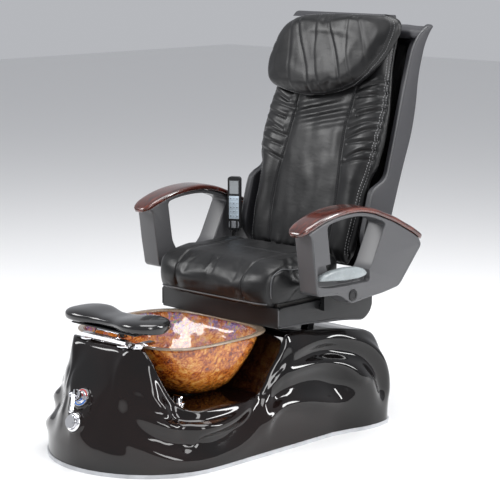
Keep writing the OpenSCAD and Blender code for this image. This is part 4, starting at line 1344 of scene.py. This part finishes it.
@dataclass
class Skirts:
    """Soft panels that hang round the seat frame."""

    half_w: float = 0.272
    thick: float = 0.007
    front_y: float = -0.126
    rear_y: float = 0.340
    low_z: float = 0.391
    top_z: float = 0.454

    def build(self) -> None:
        """Makes the two side panels, the front panel and the rear panel."""
        side = rounded([(self.front_y, self.low_z - 0.006), (0.020, self.low_z - 0.010), (0.200, self.low_z - 0.026),
                        (self.rear_y - 0.040, self.low_z - 0.040), (self.rear_y, self.low_z - 0.004),
                        (self.rear_y, self.low_z + 0.046), (self.rear_y - 0.050, self.top_z),
                        (self.front_y, self.top_z)], 0.030)
        made = [slab("skirt_left", [side], self.half_w - self.thick, self.half_w, 0.0025),
                slab("skirt_right", [side], -self.half_w, self.thick - self.half_w, 0.0025)]
        front = [(y, z) for y, z in ((-self.half_w, self.low_z - 0.006), (self.half_w, self.low_z - 0.006),
                                     (self.half_w, self.top_z), (-self.half_w, self.top_z))]
        for name, y, drop in (("skirt_front", self.front_y, 0.0), ("skirt_rear", self.rear_y - self.thick, 0.022)):
            panel = slab(name, [rounded([(a, z - (drop if z > self.low_z else -drop / 2)) for a, z in front], 0.006)],
                         -y - self.thick, -y, 0.0025)
            panel.data.transform(Matrix.Rotation(math.radians(-90), 4, "Z"))
            made.append(panel)
        for panel in made:
            divide = panel.modifiers.new("fair", "SUBSURF")
            divide.subdivision_type, divide.levels = "SIMPLE", 1
            apply_modifiers(panel)
            reshape(panel, lambda place, normal: 0.0016 * ripples(place, 9.0, 7.0)
                    * smooth_steps(self.top_z - place[:, 2], 0.0, 0.02))
            sharp(smooth(panel, Look.SKIRT, "seat"))
        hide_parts("skirt_panels")
        for s in (-1, 1):
            hem = [(s * (self.half_w + 0.0005), y, z) for y, z in
                   ((self.front_y + 0.004, self.low_z - 0.002), (0.020, self.low_z - 0.006),
                    (0.110, self.low_z - 0.0135), (0.200, self.low_z - 0.022), (0.290, self.low_z - 0.035))]
            smooth(tube(f"skirt_hem_{'left' if s > 0 else 'right'}", smooth_line(hem, 0.006), 0.0016),
                   Look.PIPING, "seat")
            corner = [(s * self.half_w, self.front_y + 0.001, self.low_z + 0.003 + 0.006 * k) for k in range(10)]
            smooth(tube(f"skirt_corner_{'left' if s > 0 else 'right'}", smooth_line(corner, 0.006), 0.0022),
                   Look.PIPING, "seat")


ARM_TOP: tuple[tuple[float, float], ...] = (
    (-0.128, 0.710), (-0.100, 0.722), (-0.057, 0.737), (-0.008, 0.748), (0.038, 0.754), (0.090, 0.756),
    (0.136, 0.753), (0.190, 0.741), (0.237, 0.724), (0.290, 0.704), (0.341, 0.679), (0.385, 0.657),
    (0.424, 0.633))


@dataclass
class Arm:
    """One armrest: its moulded shell, its wooden pad, and its side's fittings."""

    side: int
    inner: float = 0.330
    outer: float = 0.406
    pad_in: float = 0.315
    pad_out: float = 0.410
    pad_thick: float = 0.020
    lever_w: float = 0.023

    @property
    def word(self) -> str:
        """left or right."""
        return "left" if self.side > 0 else "right"

    def handed(self, obj: bpy.types.Object) -> bpy.types.Object:
        """Mirrors a piece drawn for the left arm if this is the right one."""
        if self.side < 0:
            obj.data.transform(Matrix.Diagonal((-1, 1, 1, 1)))
            obj.data.flip_normals()
        return obj

    def build(self) -> None:
        """Makes the arm."""
        body = f"arm_{self.word}"
        outline = rounded([*ARM_TOP, (0.434, 0.614), (0.430, 0.602), (0.330, 0.494), (0.316, 0.484), (0.240, 0.473),
                           (0.140, 0.466), (0.097, 0.461), (0.077, 0.461), (0.061, 0.472), (0.020, 0.496),
                           (-0.076, 0.504), (-0.086, 0.514), (-0.114, 0.700)], 0.016)
        window = rounded([(-0.040, 0.728), (-0.020, 0.590), (0.004, 0.552), (0.044, 0.528), (0.112, 0.526),
                          (0.150, 0.544), (0.180, 0.572), (0.246, 0.702), (0.236, 0.712), (0.190, 0.729),
                          (0.136, 0.741), (0.090, 0.744), (0.038, 0.742), (-0.008, 0.736)], 0.018)
        shell = self.handed(slab(f"arm_shell_{self.word}_skin", [outline, window], self.inner, self.outer, 0.0045))
        if self.side > 0:
            self.scoop(shell)
        sharp(smooth(shell, Look.ARM, body), 40)
        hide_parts(f"arm_shell_{self.word}")
        self.edges(body)
        self.pad(body)
        hub = turned(f"hub_{self.word}", [(0.020, -0.002), (0.020, 0.0015), (0.0180, 0.004), (0.012, 0.0045),
                                          (0.0105, 0.0025), (0.004, 0.0025)],
                     Vector((self.side * self.outer, 0.085, 0.487)), Vector((self.side, 0, 0)))
        sharp(smooth(hub, Look.CASE, body))

    def scoop(self, shell: bpy.types.Object) -> None:
        """Cuts the eye-shaped hollow in which the lever lies."""
        eye = rounded([(-0.086, 0.538), (-0.086, 0.602), (0.010, 0.606), (0.060, 0.604), (0.168, 0.598),
                       (0.168, 0.522), (0.060, 0.522), (0.000, 0.524), (-0.050, 0.528)], 0.012)
        cutter = slab("scoop_cutter", [eye], self.outer - self.lever_w - 0.002, self.outer + 0.020, 0.004)
        cut = shell.modifiers.new("scoop", "BOOLEAN")
        cut.operation, cut.object, cut.solver = "DIFFERENCE", cutter, "EXACT"
        apply_modifiers(shell)
        bpy.data.objects.remove(cutter)

    def edges(self, body: str) -> None:
        """Adds the raised bead that outlines the rear panel and the post, pale grey as a painted highlight along those
        edges.
        """
        face = self.outer - 0.0010
        for name, line in (("rear", [(0.418, 0.622), (0.416, 0.602), (0.372, 0.553), (0.322, 0.497), (0.312, 0.490),
                                     (0.240, 0.480), (0.165, 0.474), (0.120, 0.470)]),
                           ("post", [(-0.107, 0.690), (-0.096, 0.600), (-0.081, 0.522), (-0.072, 0.511),
                                     (-0.030, 0.508), (0.018, 0.502)])):
            # the bead's pale grey is a painted highlight along the panel and post edges
            bead = tube(f"arm_{name}_edge_{self.word}",
                        smooth_line([(self.side * face, y, z) for y, z in line], 0.008), 0.0020)
            smooth(bead, Look.ARM_EDGE, body)

    def pad(self, body: str) -> None:
        """Makes the arched wooden pad, narrow at its ends and rolled at its edges."""
        top = smooth_line([(0.0, -0.152, 0.701), *[(0.0, y, z) for y, z in ARM_TOP], (0.0, 0.444, 0.622)], 0.010)
        rings = []
        n = len(top) - 1
        for k, here in enumerate(top):
            way = (top[min(k + 1, n)] - top[max(k - 1, 0)]).normalized()
            up = Vector((0, -way.z, way.y))
            share = k / n
            nose = math.sqrt(max(0.0, 1 - max(0.0, (0.10 - share) / 0.10) ** 2.4))
            tail = math.sqrt(max(0.0, 1 - max(0.0, (share - 0.955) / 0.045) ** 2.4))
            end = max(min(nose, tail), 0.05)
            taper = 0.016 * ease((0.30 - share) / 0.30)
            low = self.pad_in + 0.010 * ease((share - 0.5) / 0.5) + taper * 0.4
            high = self.pad_out - taper * 0.3
            middle, half = (low + high) / 2, (high - low) / 2 * (0.25 + 0.75 * end)
            tall = self.pad_thick * (0.35 + 0.65 * end)
            ring = []
            for j in range(28):
                c, v = math.cos(2 * math.pi * j / 28), math.sin(2 * math.pi * j / 28)
                x = half * math.copysign(abs(c) ** 0.45, c)
                rise = tall / 2 + tall / 2 * math.copysign(abs(v) ** (0.75 if v > 0 else 0.35), v)
                p = here + up * rise
                ring.append((middle + x, p.y, p.z))
            rings.append(ring)
        pad = self.handed(loft(f"wooden_pad_{self.word}", rings))
        relax(pad, 2)
        smooth(pad, Look.WOOD, body)
        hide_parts(f"arm_pad_{self.word}")


@dataclass
class ReclineLever:
    """The pale paddle that lies in the left arm's scoop."""

    inner: float = 0.383
    outer: float = 0.408

    def build(self) -> None:
        """Makes the paddle, rounded like a pebble."""
        outline = rounded([(-0.076, 0.556), (-0.060, 0.571), (-0.020, 0.580), (0.050, 0.583), (0.110, 0.578),
                           (0.144, 0.566), (0.158, 0.553), (0.150, 0.543), (0.120, 0.538), (0.050, 0.539),
                           (-0.010, 0.546), (-0.060, 0.551)], 0.020)
        paddle = slab("lever_paddle", [outline], self.inner, self.outer, 0.0085)
        smooth(paddle, Look.LEVER, "lever")
        paddle.data.set_sharp_from_angle(angle=math.radians(50))
        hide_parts("recline_lever")


@dataclass
class BackCushion:
    """The padded back: bolsters, seams, folds and stitches."""

    rear: float = -0.046
    swell: float = 0.007
    widths: tuple[tuple[float, float], ...] = (
        (0.034, 0.236), (0.080, 0.252), (0.200, 0.258), (0.330, 0.262), (0.385, 0.284), (0.470, 0.291),
        (0.560, 0.288), (0.640, 0.276), (0.720, 0.262), (0.800, 0.256), (0.870, 0.248))
    fronts: tuple[tuple[float, float], ...] = (
        (0.034, -0.090), (0.070, -0.104), (0.200, -0.112), (0.330, -0.116), (0.460, -0.114), (0.600, -0.104),
        (0.740, -0.098), (0.830, -0.090), (0.870, -0.074))

    def seam(self) -> Trail:
        """The long seam of one side, as (x, height)."""
        return Trail([(0.128, 0.030), (0.138, 0.120), (0.146, 0.230), (0.140, 0.330), (0.128, 0.430),
                      (0.124, 0.540), (0.132, 0.660), (0.140, 0.800)])

    def border(self) -> Trail:
        """The stitched seam near one edge, as (x, height)."""
        return Trail([(0.224, 0.060), (0.234, 0.180), (0.240, 0.300), (0.258, 0.400), (0.264, 0.500),
                      (0.260, 0.600), (0.246, 0.700), (0.236, 0.820)])

    def creases(self, seed: int) -> list[tuple[Trail, float]]:
        """Folds of the side channels and of the waist.

        Args:
            seed: Picks the pattern.

        Returns:
            Pairs of a fold's line and its depth.
        """
        draw = random.Random(seed)
        made = []
        for k in range(9):
            height = 0.400 + 0.034 * k + draw.uniform(-0.008, 0.008)
            fall = draw.uniform(-0.050, -0.012)
            made.append((Trail([(0.262, height), (0.215, height + fall * 0.35 + draw.uniform(-0.006, 0.006)),
                                (0.145 + draw.uniform(-0.008, 0.020), height + fall)]), draw.uniform(0.6, 1.0)))
        return made

    def sewn(self, place: np.ndarray, normal: np.ndarray) -> np.ndarray:
        """Seams, pulled-in borders, folds and soft puckers, by place."""
        x, _, z = place.T
        front = smooth_steps(-normal[:, 1], 0.1, 0.5)
        far = np.abs(x)
        lift = -0.0050 * self.seam().bead(far, z, 0.0048) - 0.0060 * self.seam().bead(far, z, 0.024)
        lift -= 0.0034 * self.border().bead(far, z, 0.0045) + 0.0030 * self.border().bead(far, z, 0.014)
        band = smooth_steps(z, 0.05, 0.12) * (1 - smooth_steps(z, 0.80, 0.86))
        lift += 0.0060 * band * np.exp(-((far - 0.200) / 0.034) ** 2)
        lift += 0.0030 * np.exp(-(x / 0.075) ** 2) * band
        lift -= 0.0060 * np.exp(-((z - 0.60) / 0.07) ** 2) * np.exp(-(x / 0.11) ** 2)
        for s in (-1, 1):
            here = smooth_steps(s * x, 0.110, 0.150)
            for crease, depth_of in self.creases(11 + s):
                lift -= 0.0058 * depth_of * here * crease.bead(far, z, 0.0055)
                lift += 0.0030 * depth_of * here * crease.bead(far, z - 0.013, 0.009)
        waist = np.exp(-((z - 0.545) / 0.045) ** 2) * np.exp(-(x / 0.13) ** 2)
        lift += 0.0040 * waist * np.sin((z - 0.25 * x) * 170.0)
        foot = np.exp(-((z - 0.060) / 0.030) ** 2)
        lift += 0.0014 * foot * np.sin(x * 190.0)
        lift += 0.0022 * ripples(place * np.array([1.0, 0.7, 0.6]), 24.0, 9.0)
        return lift * front

    def build(self) -> None:
        """Makes the stuffed back, its stitches and its piping."""
        rings = []
        for k in range(44):
            z = 0.036 + (0.866 - 0.036) * k / 43
            w = along(list(self.widths), z) - self.swell
            f = along(list(self.fronts), z) + self.swell
            rise = 0.010 * max(0.0, 1 - ((z - 0.036) / 0.03)) + 0.012 * max(0.0, (z - 0.84) / 0.026)
            w, f = w - rise, f + rise
            ring = []
            for j in range(88):
                c, s = math.cos(2 * math.pi * j / 88), math.sin(2 * math.pi * j / 88)
                ring.append((w * math.copysign(abs(c) ** 0.5, c), (f + self.rear) / 2
                             + (self.rear - f) / 2 * math.copysign(abs(s) ** 0.55, s), z))
            rings.append(ring)
        cushion = loft("back_leather", rings)
        inflate(cushion, 0.006, 4.0, 0.009)
        relax(cushion, 4)
        divide = cushion.modifiers.new("finer", "SUBSURF")
        divide.levels = divide.render_levels = 1
        apply_modifiers(cushion)
        reshape(cushion, self.sewn)
        for v in cushion.data.vertices:
            v.co.y = min(v.co.y, self.rear + 0.002)
        cushion.data.transform(BACK)
        smooth(cushion, Look.HIDE, "back")
        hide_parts("back_cushion")
        self.threads(cushion)

    def threads(self, cushion: bpy.types.Object) -> None:
        """Adds the stitches along the seams and the pale double row near both borders."""
        for s in (-1, 1):
            word = "right" if s < 0 else "left"
            for number, (trail, shift, look, size) in enumerate((
                    (self.border(), -0.0045, Look.THREAD, 0.00085), (self.border(), -0.0100, Look.THREAD, 0.00085),
                    (self.seam(), -0.0055, Look.SEAM, 0.00055), (self.seam(), 0.0055, Look.SEAM, 0.00055))):
                path = smooth_line([(float(p[0]) + shift, 0.0, float(p[1])) for p in trail.points[1:-1:2]], 0.0025)
                world = [on_back(s * p.x, -0.20, p.z) for p in path]
                line = laid_on(world, cushion, BACK_WAY, size * 0.6)
                stitches(f"back_stitches_{word}_{number + 1}", line, 0.0062 if number < 2 else 0.0042,
                         0.0022, size, look, "back")


@dataclass
class BackShell:
    """The stiff sides and the rear of the back, with piping and a flared top."""

    inner: float = 0.266
    outer: float = 0.292

    def outline(self) -> list[tuple[float, float]]:
        """Side view of a side shell in the back's own frame, with rounded corners."""
        return rounded([(-0.102, 0.142), (-0.084, 0.104), (-0.030, 0.062), (0.018, 0.070), (0.026, 0.260),
                        (0.034, 0.400), (0.046, 0.520), (0.040, 0.620), (0.022, 0.720), (0.024, 0.820),
                        (0.036, 0.866), (0.052, 0.898), (0.036, 0.902), (-0.014, 0.860), (-0.040, 0.800),
                        (-0.040, 0.348), (-0.092, 0.306), (-0.102, 0.290)], 0.045, 8)

    def build(self) -> None:
        """Makes both sides, the rear cover and the top flap."""
        for s in (-1, 1):
            word = "right" if s < 0 else "left"
            low, high = sorted((s * self.inner, s * self.outer))
            shell = slab(f"side_leather_{word}", [self.outline()], low, high, 0.008)
            shell.data.transform(BACK)
            sharp(smooth(shell, Look.SHELL, "back"), 50)
            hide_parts(f"side_shell_{word}")
            edge = [(-0.034, 0.075), (-0.078, 0.112), (-0.098, 0.150), (-0.100, 0.220), (-0.098, 0.285),
                    (-0.082, 0.312), (-0.044, 0.350), (-0.040, 0.420), (-0.040, 0.560), (-0.040, 0.700),
                    (-0.036, 0.800), (-0.012, 0.856), (0.020, 0.888)]
            line = [on_back(p.x, p.y, p.z) for p in
                    smooth_line([(s * (self.outer - 0.004), y - 0.001, z) for y, z in edge], 0.006)]
            smooth(tube(f"side_piping_{word}", line, 0.0030), Look.PIPING, "back")
        self.rear()
        self.flap()

    def rear(self) -> None:
        """Makes the softly domed rear cover and its zip line."""
        half, low, high = self.inner - 0.001, 0.040, 0.880
        rows, columns = 40, 26
        points = []
        for r in range(rows + 1):
            for c in range(columns + 1):
                u, v = 2 * c / columns - 1, 2 * r / rows - 1
                dome = 0.012 * (1 - abs(u) ** 3) * (1 - abs(v) ** 4)
                points.append((u * half, 0.026 + dome + 0.0015 * math.sin(v * 31 + u * 3) * (1 - u * u),
                               (low + high) / 2 + v * (high - low) / 2))
        cover = piece("rear_leather", points, grid_faces(rows + 1, columns + 1, False))
        thick = cover.modifiers.new("wall", "SOLIDIFY")
        thick.thickness, thick.offset = 0.006, -1.0
        apply_modifiers(cover)
        cover.data.transform(BACK)
        smooth(cover, Look.SHELL, "back")
        cover.data.set_sharp_from_angle(angle=math.radians(50))
        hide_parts("rear_cover")
        for x in (-0.16, 0.16):
            line = [Vector((x, 0.3, low + 0.02 + 0.008 * k)) for k in range(102)]
            line = laid_on([on_back(*p) for p in line], cover, -BACK_WAY, 0.0010)
            smooth(tube(f"rear_seam_{'left' if x > 0 else 'right'}", line, 0.0018), Look.PIPING, "back")

    def flap(self) -> None:
        """Makes the leather that closes the top, and flares out at the rear."""
        profile = [(-0.060, 0.846), (-0.052, 0.862), (-0.034, 0.873), (-0.010, 0.880), (0.012, 0.886),
                   (0.034, 0.893), (0.050, 0.899), (0.053, 0.896), (0.042, 0.888), (0.026, 0.878), (0.020, 0.862),
                   (0.016, 0.840), (-0.020, 0.836)]
        rings = []
        for k in range(41):
            u = -1 + 2 * k / 40
            drop = 0.006 * abs(u) ** 6
            rings.append([(u * (self.outer - 0.002), y, z - drop + 0.0012 * math.sin(u * 19 + y * 60))
                          for y, z in profile])
        flap = loft("top_flap", rings)
        divide = flap.modifiers.new("fair", "SUBSURF")
        divide.levels = divide.render_levels = 1
        apply_modifiers(flap)
        flap.data.transform(BACK)
        smooth(flap, Look.SHELL, "back")


@dataclass
class HeadPillow:
    """The pillow that hangs over the top of the back."""

    middle_z: float = 0.742
    swell: float = 0.007

    def outline(self) -> list[tuple[float, float]]:
        """The pillow's sewn edge, as (x, height) in the back's own frame."""
        return [(-0.045, 0.585), (0.065, 0.601), (0.168, 0.642), (0.238, 0.715), (0.284, 0.806), (0.294, 0.862),
                (0.262, 0.892), (0.180, 0.898), (0.000, 0.896), (-0.140, 0.886), (-0.212, 0.862),
                (-0.258, 0.815), (-0.284, 0.740), (-0.288, 0.676), (-0.258, 0.627), (-0.170, 0.597)]

    def build(self) -> None:
        """Makes the stuffed pillow, its strap and its edge stitches."""
        edge = smooth_line([(x, 0.0, z) for x, z in self.outline()], 0.012, closed=True)[:-1]
        centre = Vector((0, 0, self.middle_z))
        rings = []
        for depth, share in ((-0.106, 0.60), (-0.108, 0.86), (-0.116, 0.955), (-0.128, 0.985), (-0.142, 0.965),
                             (-0.154, 0.90), (-0.163, 0.76), (-0.168, 0.50)):
            ring = []
            for p in edge:
                q = centre + (p - centre) * share
                wrap = 0.022 * (abs(q.x) / 0.27) ** 2.4
                ring.append((q.x, depth + wrap, q.z))
            rings.append(ring)
        pillow = loft("pillow_leather", rings)
        inflate(pillow, 0.0055, 4.0, 0.008)
        relax(pillow, 5)
        divide = pillow.modifiers.new("finer", "SUBSURF")
        divide.levels = divide.render_levels = 1
        apply_modifiers(pillow)

        def drawn(place: np.ndarray, normal: np.ndarray) -> np.ndarray:
            """Soft upright folds and a drawn-in edge."""
            x, _, z = place.T
            front = smooth_steps(-normal[:, 1], 0.1, 0.6)
            lean = x + 0.35 * (z - self.middle_z)
            fold = np.zeros(len(x))
            for at, deep in ((-0.150, 0.5), (-0.085, 1.0), (-0.020, 0.7), (0.060, 1.0), (0.125, 0.6), (0.180, 0.5)):
                bend = 0.012 * np.sin(z * 17 + at * 40)
                fold -= deep * np.exp(-((lean - at - bend) / 0.0065) ** 2)
                fold += 0.7 * deep * np.exp(-((lean - at - bend - 0.014) / 0.012) ** 2)
            return front * (0.0020 * fold + 0.0018 * ripples(place, 20.0, 2.0))

        reshape(pillow, drawn)
        pillow.data.transform(BACK)
        smooth(pillow, Look.HIDE, "pillow")
        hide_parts("head_pillow")
        for number, share in enumerate((0.925, 0.895)):
            line = []
            for p in smooth_line([(x, 0.0, z) for x, z in self.outline()], 0.003, closed=True):
                q = centre + (p - centre) * share
                line.append(on_back(q.x, -0.30, q.z))
            line = laid_on(line, pillow, BACK_WAY, 0.0004)
            stitches(f"pillow_stitches_{number + 1}", line, 0.0052, 0.0022, 0.0006,
                     Look.THREAD if number == 0 else Look.SEAM, "pillow")
        strap = []
        path = smooth_line([(0.0, -0.128, 0.872), (0.0, -0.112, 0.893), (0.0, -0.086, 0.898), (0.0, -0.060, 0.898)],
                           0.006)
        for p in path:
            strap.append([(x, p.y + d, p.z + 0.5 * d) for x, d in
                          ((-0.20, 0.0), (-0.10, 0.0), (0.0, 0.0), (0.10, 0.0), (0.20, 0.0),
                           (0.20, 0.004), (0.10, 0.004), (0.0, 0.004), (-0.10, 0.004), (-0.20, 0.004))])
        band = loft("pillow_strap", strap)
        band.data.transform(BACK)
        smooth(band, Look.SHELL, "pillow")
        band.data.set_sharp_from_angle(angle=math.radians(50))
        profile = [(-0.064, 0.894), (-0.067, 0.899), (-0.064, 0.905), (-0.058, 0.906), (-0.053, 0.901),
                   (-0.050, 0.888), (-0.040, 0.868), (-0.046, 0.862), (-0.057, 0.876)]
        hem = loft("pillow_hem", [[(-0.205 + 0.41 * k / 20, y, z) for y, z in profile] for k in range(21)])
        hem.data.transform(BACK)
        smooth(hem, Look.SHELL, "back")
        hem.data.set_sharp_from_angle(angle=math.radians(60))


@dataclass
class HandControl:
    """Keys, marks and trim of the hand control."""

    x: float = -0.282
    y: float = 0.236
    z: float = 0.604
    turn: float = 30.0
    length: float = 0.190
    half_t: float = 0.010

    def place(self, obj: bpy.types.Object) -> bpy.types.Object:
        """Stands a piece, drawn about the control's foot, where the control is."""
        obj.data.transform(Matrix.Translation((self.x, self.y, self.z))
                           @ Matrix.Rotation(math.radians(self.turn), 4, "Z"))
        return obj

    def tile(self, name: str, centre: tuple[float, float], size: tuple[float, float], lift: float,
             thick: float) -> bpy.types.Object:
        """A small rounded tile on the control's face."""
        (cx, cz), (w, h) = centre, size
        tile = slab(name, [rounded([(-w, -h), (w, -h), (w, h), (-w, h)], min(w, h) * 0.6, 3)], 0.0, thick,
                    thick * 0.35)
        tile.data.transform(Matrix.Translation((cx, -self.half_t - lift, cz))
                            @ Matrix.Rotation(math.radians(-90), 4, "Z"))
        return self.place(tile)

    def build(self) -> None:
        """Makes the keys, the bezel, the silver end and the strain relief's ribs."""
        top = self.length
        for row in range(5):
            for column in range(3):
                key = self.tile(f"key_{row + 1}_{column + 1}", (-0.0115 + 0.0115 * column, top - 0.078 - 0.0155 * row),
                                (0.0043, 0.0055), 0.0006, 0.0012)
                sharp(smooth(key, Look.KEYS, "remote"))
                mark = self.tile(f"mark_{row + 1}_{column + 1}",
                                 (-0.0115 + 0.0115 * column, top - 0.078 - 0.0155 * row),
                                 (0.0021, 0.0007 if (row + column) % 2 else 0.0016), 0.0017, 0.0003)
                smooth(mark, Look.MARKS, "remote")
        window = rounded([(-0.0175, top - 0.0615), (0.0175, top - 0.0615), (0.0175, top - 0.0125),
                          (-0.0175, top - 0.0125)], 0.004, 4)
        bezel = tube("screen_bezel", smooth_line([(a, -self.half_t - 0.0002, b) for a, b in window], 0.002, True)[:-1],
                     0.0010, closed=True)
        smooth(self.place(bezel), Look.CASE, "remote")
        end = self.tile("silver_end", (0.0, 0.020), (0.0185, 0.0125), 0.0002, 0.0010)
        sharp(smooth(end, Look.SILVER, "remote"))
        for k in range(4):
            rib = turned(f"relief_rib_{k + 1}", [(0.0030, -0.0012), (0.0052 - 0.0004 * k, -0.0008),
                                                 (0.0052 - 0.0004 * k, 0.0008), (0.0030, 0.0012)],
                         Vector((self.x, self.y, self.z - 0.003 - 0.0035 * k)), Vector((0, 0, 1)), 20)
            sharp(smooth(rib, Look.CASE, "remote"))


@dataclass
class ControlCord:
    """The hand control's cord, from its strain relief down to the gland on the skirt."""

    diameter: float = 0.005
    points: tuple[Point, ...] = (
        (-0.282, 0.236, 0.588), (-0.282, 0.236, 0.572), (-0.282, 0.236, 0.555), (-0.283, 0.236, 0.535),
        (-0.284, 0.236, 0.515), (-0.286, 0.236, 0.495), (-0.287, 0.236, 0.475), (-0.288, 0.237, 0.457),
        (-0.288, 0.241, 0.440), (-0.288, 0.248, 0.429), (-0.288, 0.258, 0.425), (-0.288, 0.269, 0.428),
        (-0.288, 0.277, 0.437), (-0.288, 0.280, 0.449))

    def build(self) -> None:
        line = smooth_line(list(self.points), 0.004)
        cord = tube("control_cord", line, self.diameter / 2, sides=12)
        smooth(cord, Look.CORD, "seat")
        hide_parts("remote_cord")
        length = sum((b - a).length for a, b in zip(line, line[1:]))


@dataclass
class Studio:
    """Camera, floor and soft lights."""

    azimuth: float = 44.212
    elevation: float = 10.232
    distance: float = 6.054
    target: Point = (0.0, 0.024, 0.593)
    lens: float = 129.6

    def camera(self) -> None:
        """Makes the camera."""
        a, e = math.radians(self.azimuth), math.radians(self.elevation)
        back = Vector((math.sin(a) * math.cos(e), -math.cos(a) * math.cos(e), math.sin(e)))
        data = bpy.data.cameras.new("camera")
        data.lens, data.sensor_width = self.lens, 36.0
        camera = bpy.data.objects.new("camera", data)
        camera.location = Vector(self.target) + back * self.distance
        camera.rotation_mode = "QUATERNION"
        camera.rotation_quaternion = (-back).to_track_quat("-Z", "Y")
        bpy.context.collection.objects.link(camera)
        bpy.context.scene.camera = camera

    def light(self, name: str, place: Point, aim: Point, size: tuple[float, float], power: float) -> None:
        """Makes one soft light.

        Args:
            name: Its name.
            place: Where it stands.
            aim: What it points at.
            size: Its width and height.
            power: Its power, in watts.
        """
        data = bpy.data.lights.new(name, "AREA")
        data.shape, (data.size, data.size_y), data.energy = "RECTANGLE", size, power
        lamp = bpy.data.objects.new(name, data)
        lamp.location = place
        lamp.rotation_mode = "QUATERNION"
        lamp.rotation_quaternion = (Vector(aim) - Vector(place)).to_track_quat("-Z", "Y")
        bpy.context.collection.objects.link(lamp)

    def build(self) -> None:
        """Makes the floor, the lights and the sky."""
        floor = piece("floor", [(-14, -14, 0), (14, -14, 0), (14, 14, 0), (-14, 14, 0)], [(0, 1, 2, 3)])
        dress = Dress("studio_floor")
        floor.data.materials.append(dress.done((0.86, 0.86, 0.86), 0.9))
        aim = (0.0, 0.0, 0.6)
        self.light("key", (-2.6, -3.4, 3.6), aim, (2.6, 1.8), 190.0)
        self.light("fill", (4.4, -1.0, 2.4), aim, (1.0, 2.8), 90.0)
        self.light("strip", (2.6, 1.9, 2.2), (0.1, 0.1, 0.5), (0.4, 2.4), 70.0)
        self.light("top", (0.4, 0.4, 4.2), aim, (2.4, 2.4), 120.0)
        world = bpy.data.worlds.new("studio")
        world.use_nodes = True
        world.node_tree.nodes["Background"].inputs[0].default_value = (0.93, 0.95, 1.0, 1.0)
        world.node_tree.nodes["Background"].inputs[1].default_value = 0.5
        bpy.context.scene.world = world
        bpy.context.scene.view_settings.view_transform = "Standard"


def dress_nodes() -> None:
    """Gives each node of the frame its finish."""
    for look, names in NODE_LOOKS.items():
        for name in names:
            node = bpy.data.objects[name]
            node.data.materials.clear()
            node.data.materials.append(look.made)
            log.info("dressed %s in %s", name, look.name.lower())


def main() -> None:
    """Builds the looks of the whole chair."""
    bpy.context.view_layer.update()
    studio = Studio()
    studio.camera()
    ControlCord().build()
    dress_nodes()
    for part in (GelcoatBase(), FootBowl(), FrontFittings(), Footrest(), SeatCushion(), Skirts(), Arm(1), Arm(-1),
                 ReclineLever(), BackCushion(), BackShell(), HeadPillow(), HandControl()):
        part.build()
        log.info("finished %s", type(part).__name__)
    studio.build()


if __name__ == "__main__":
    main()
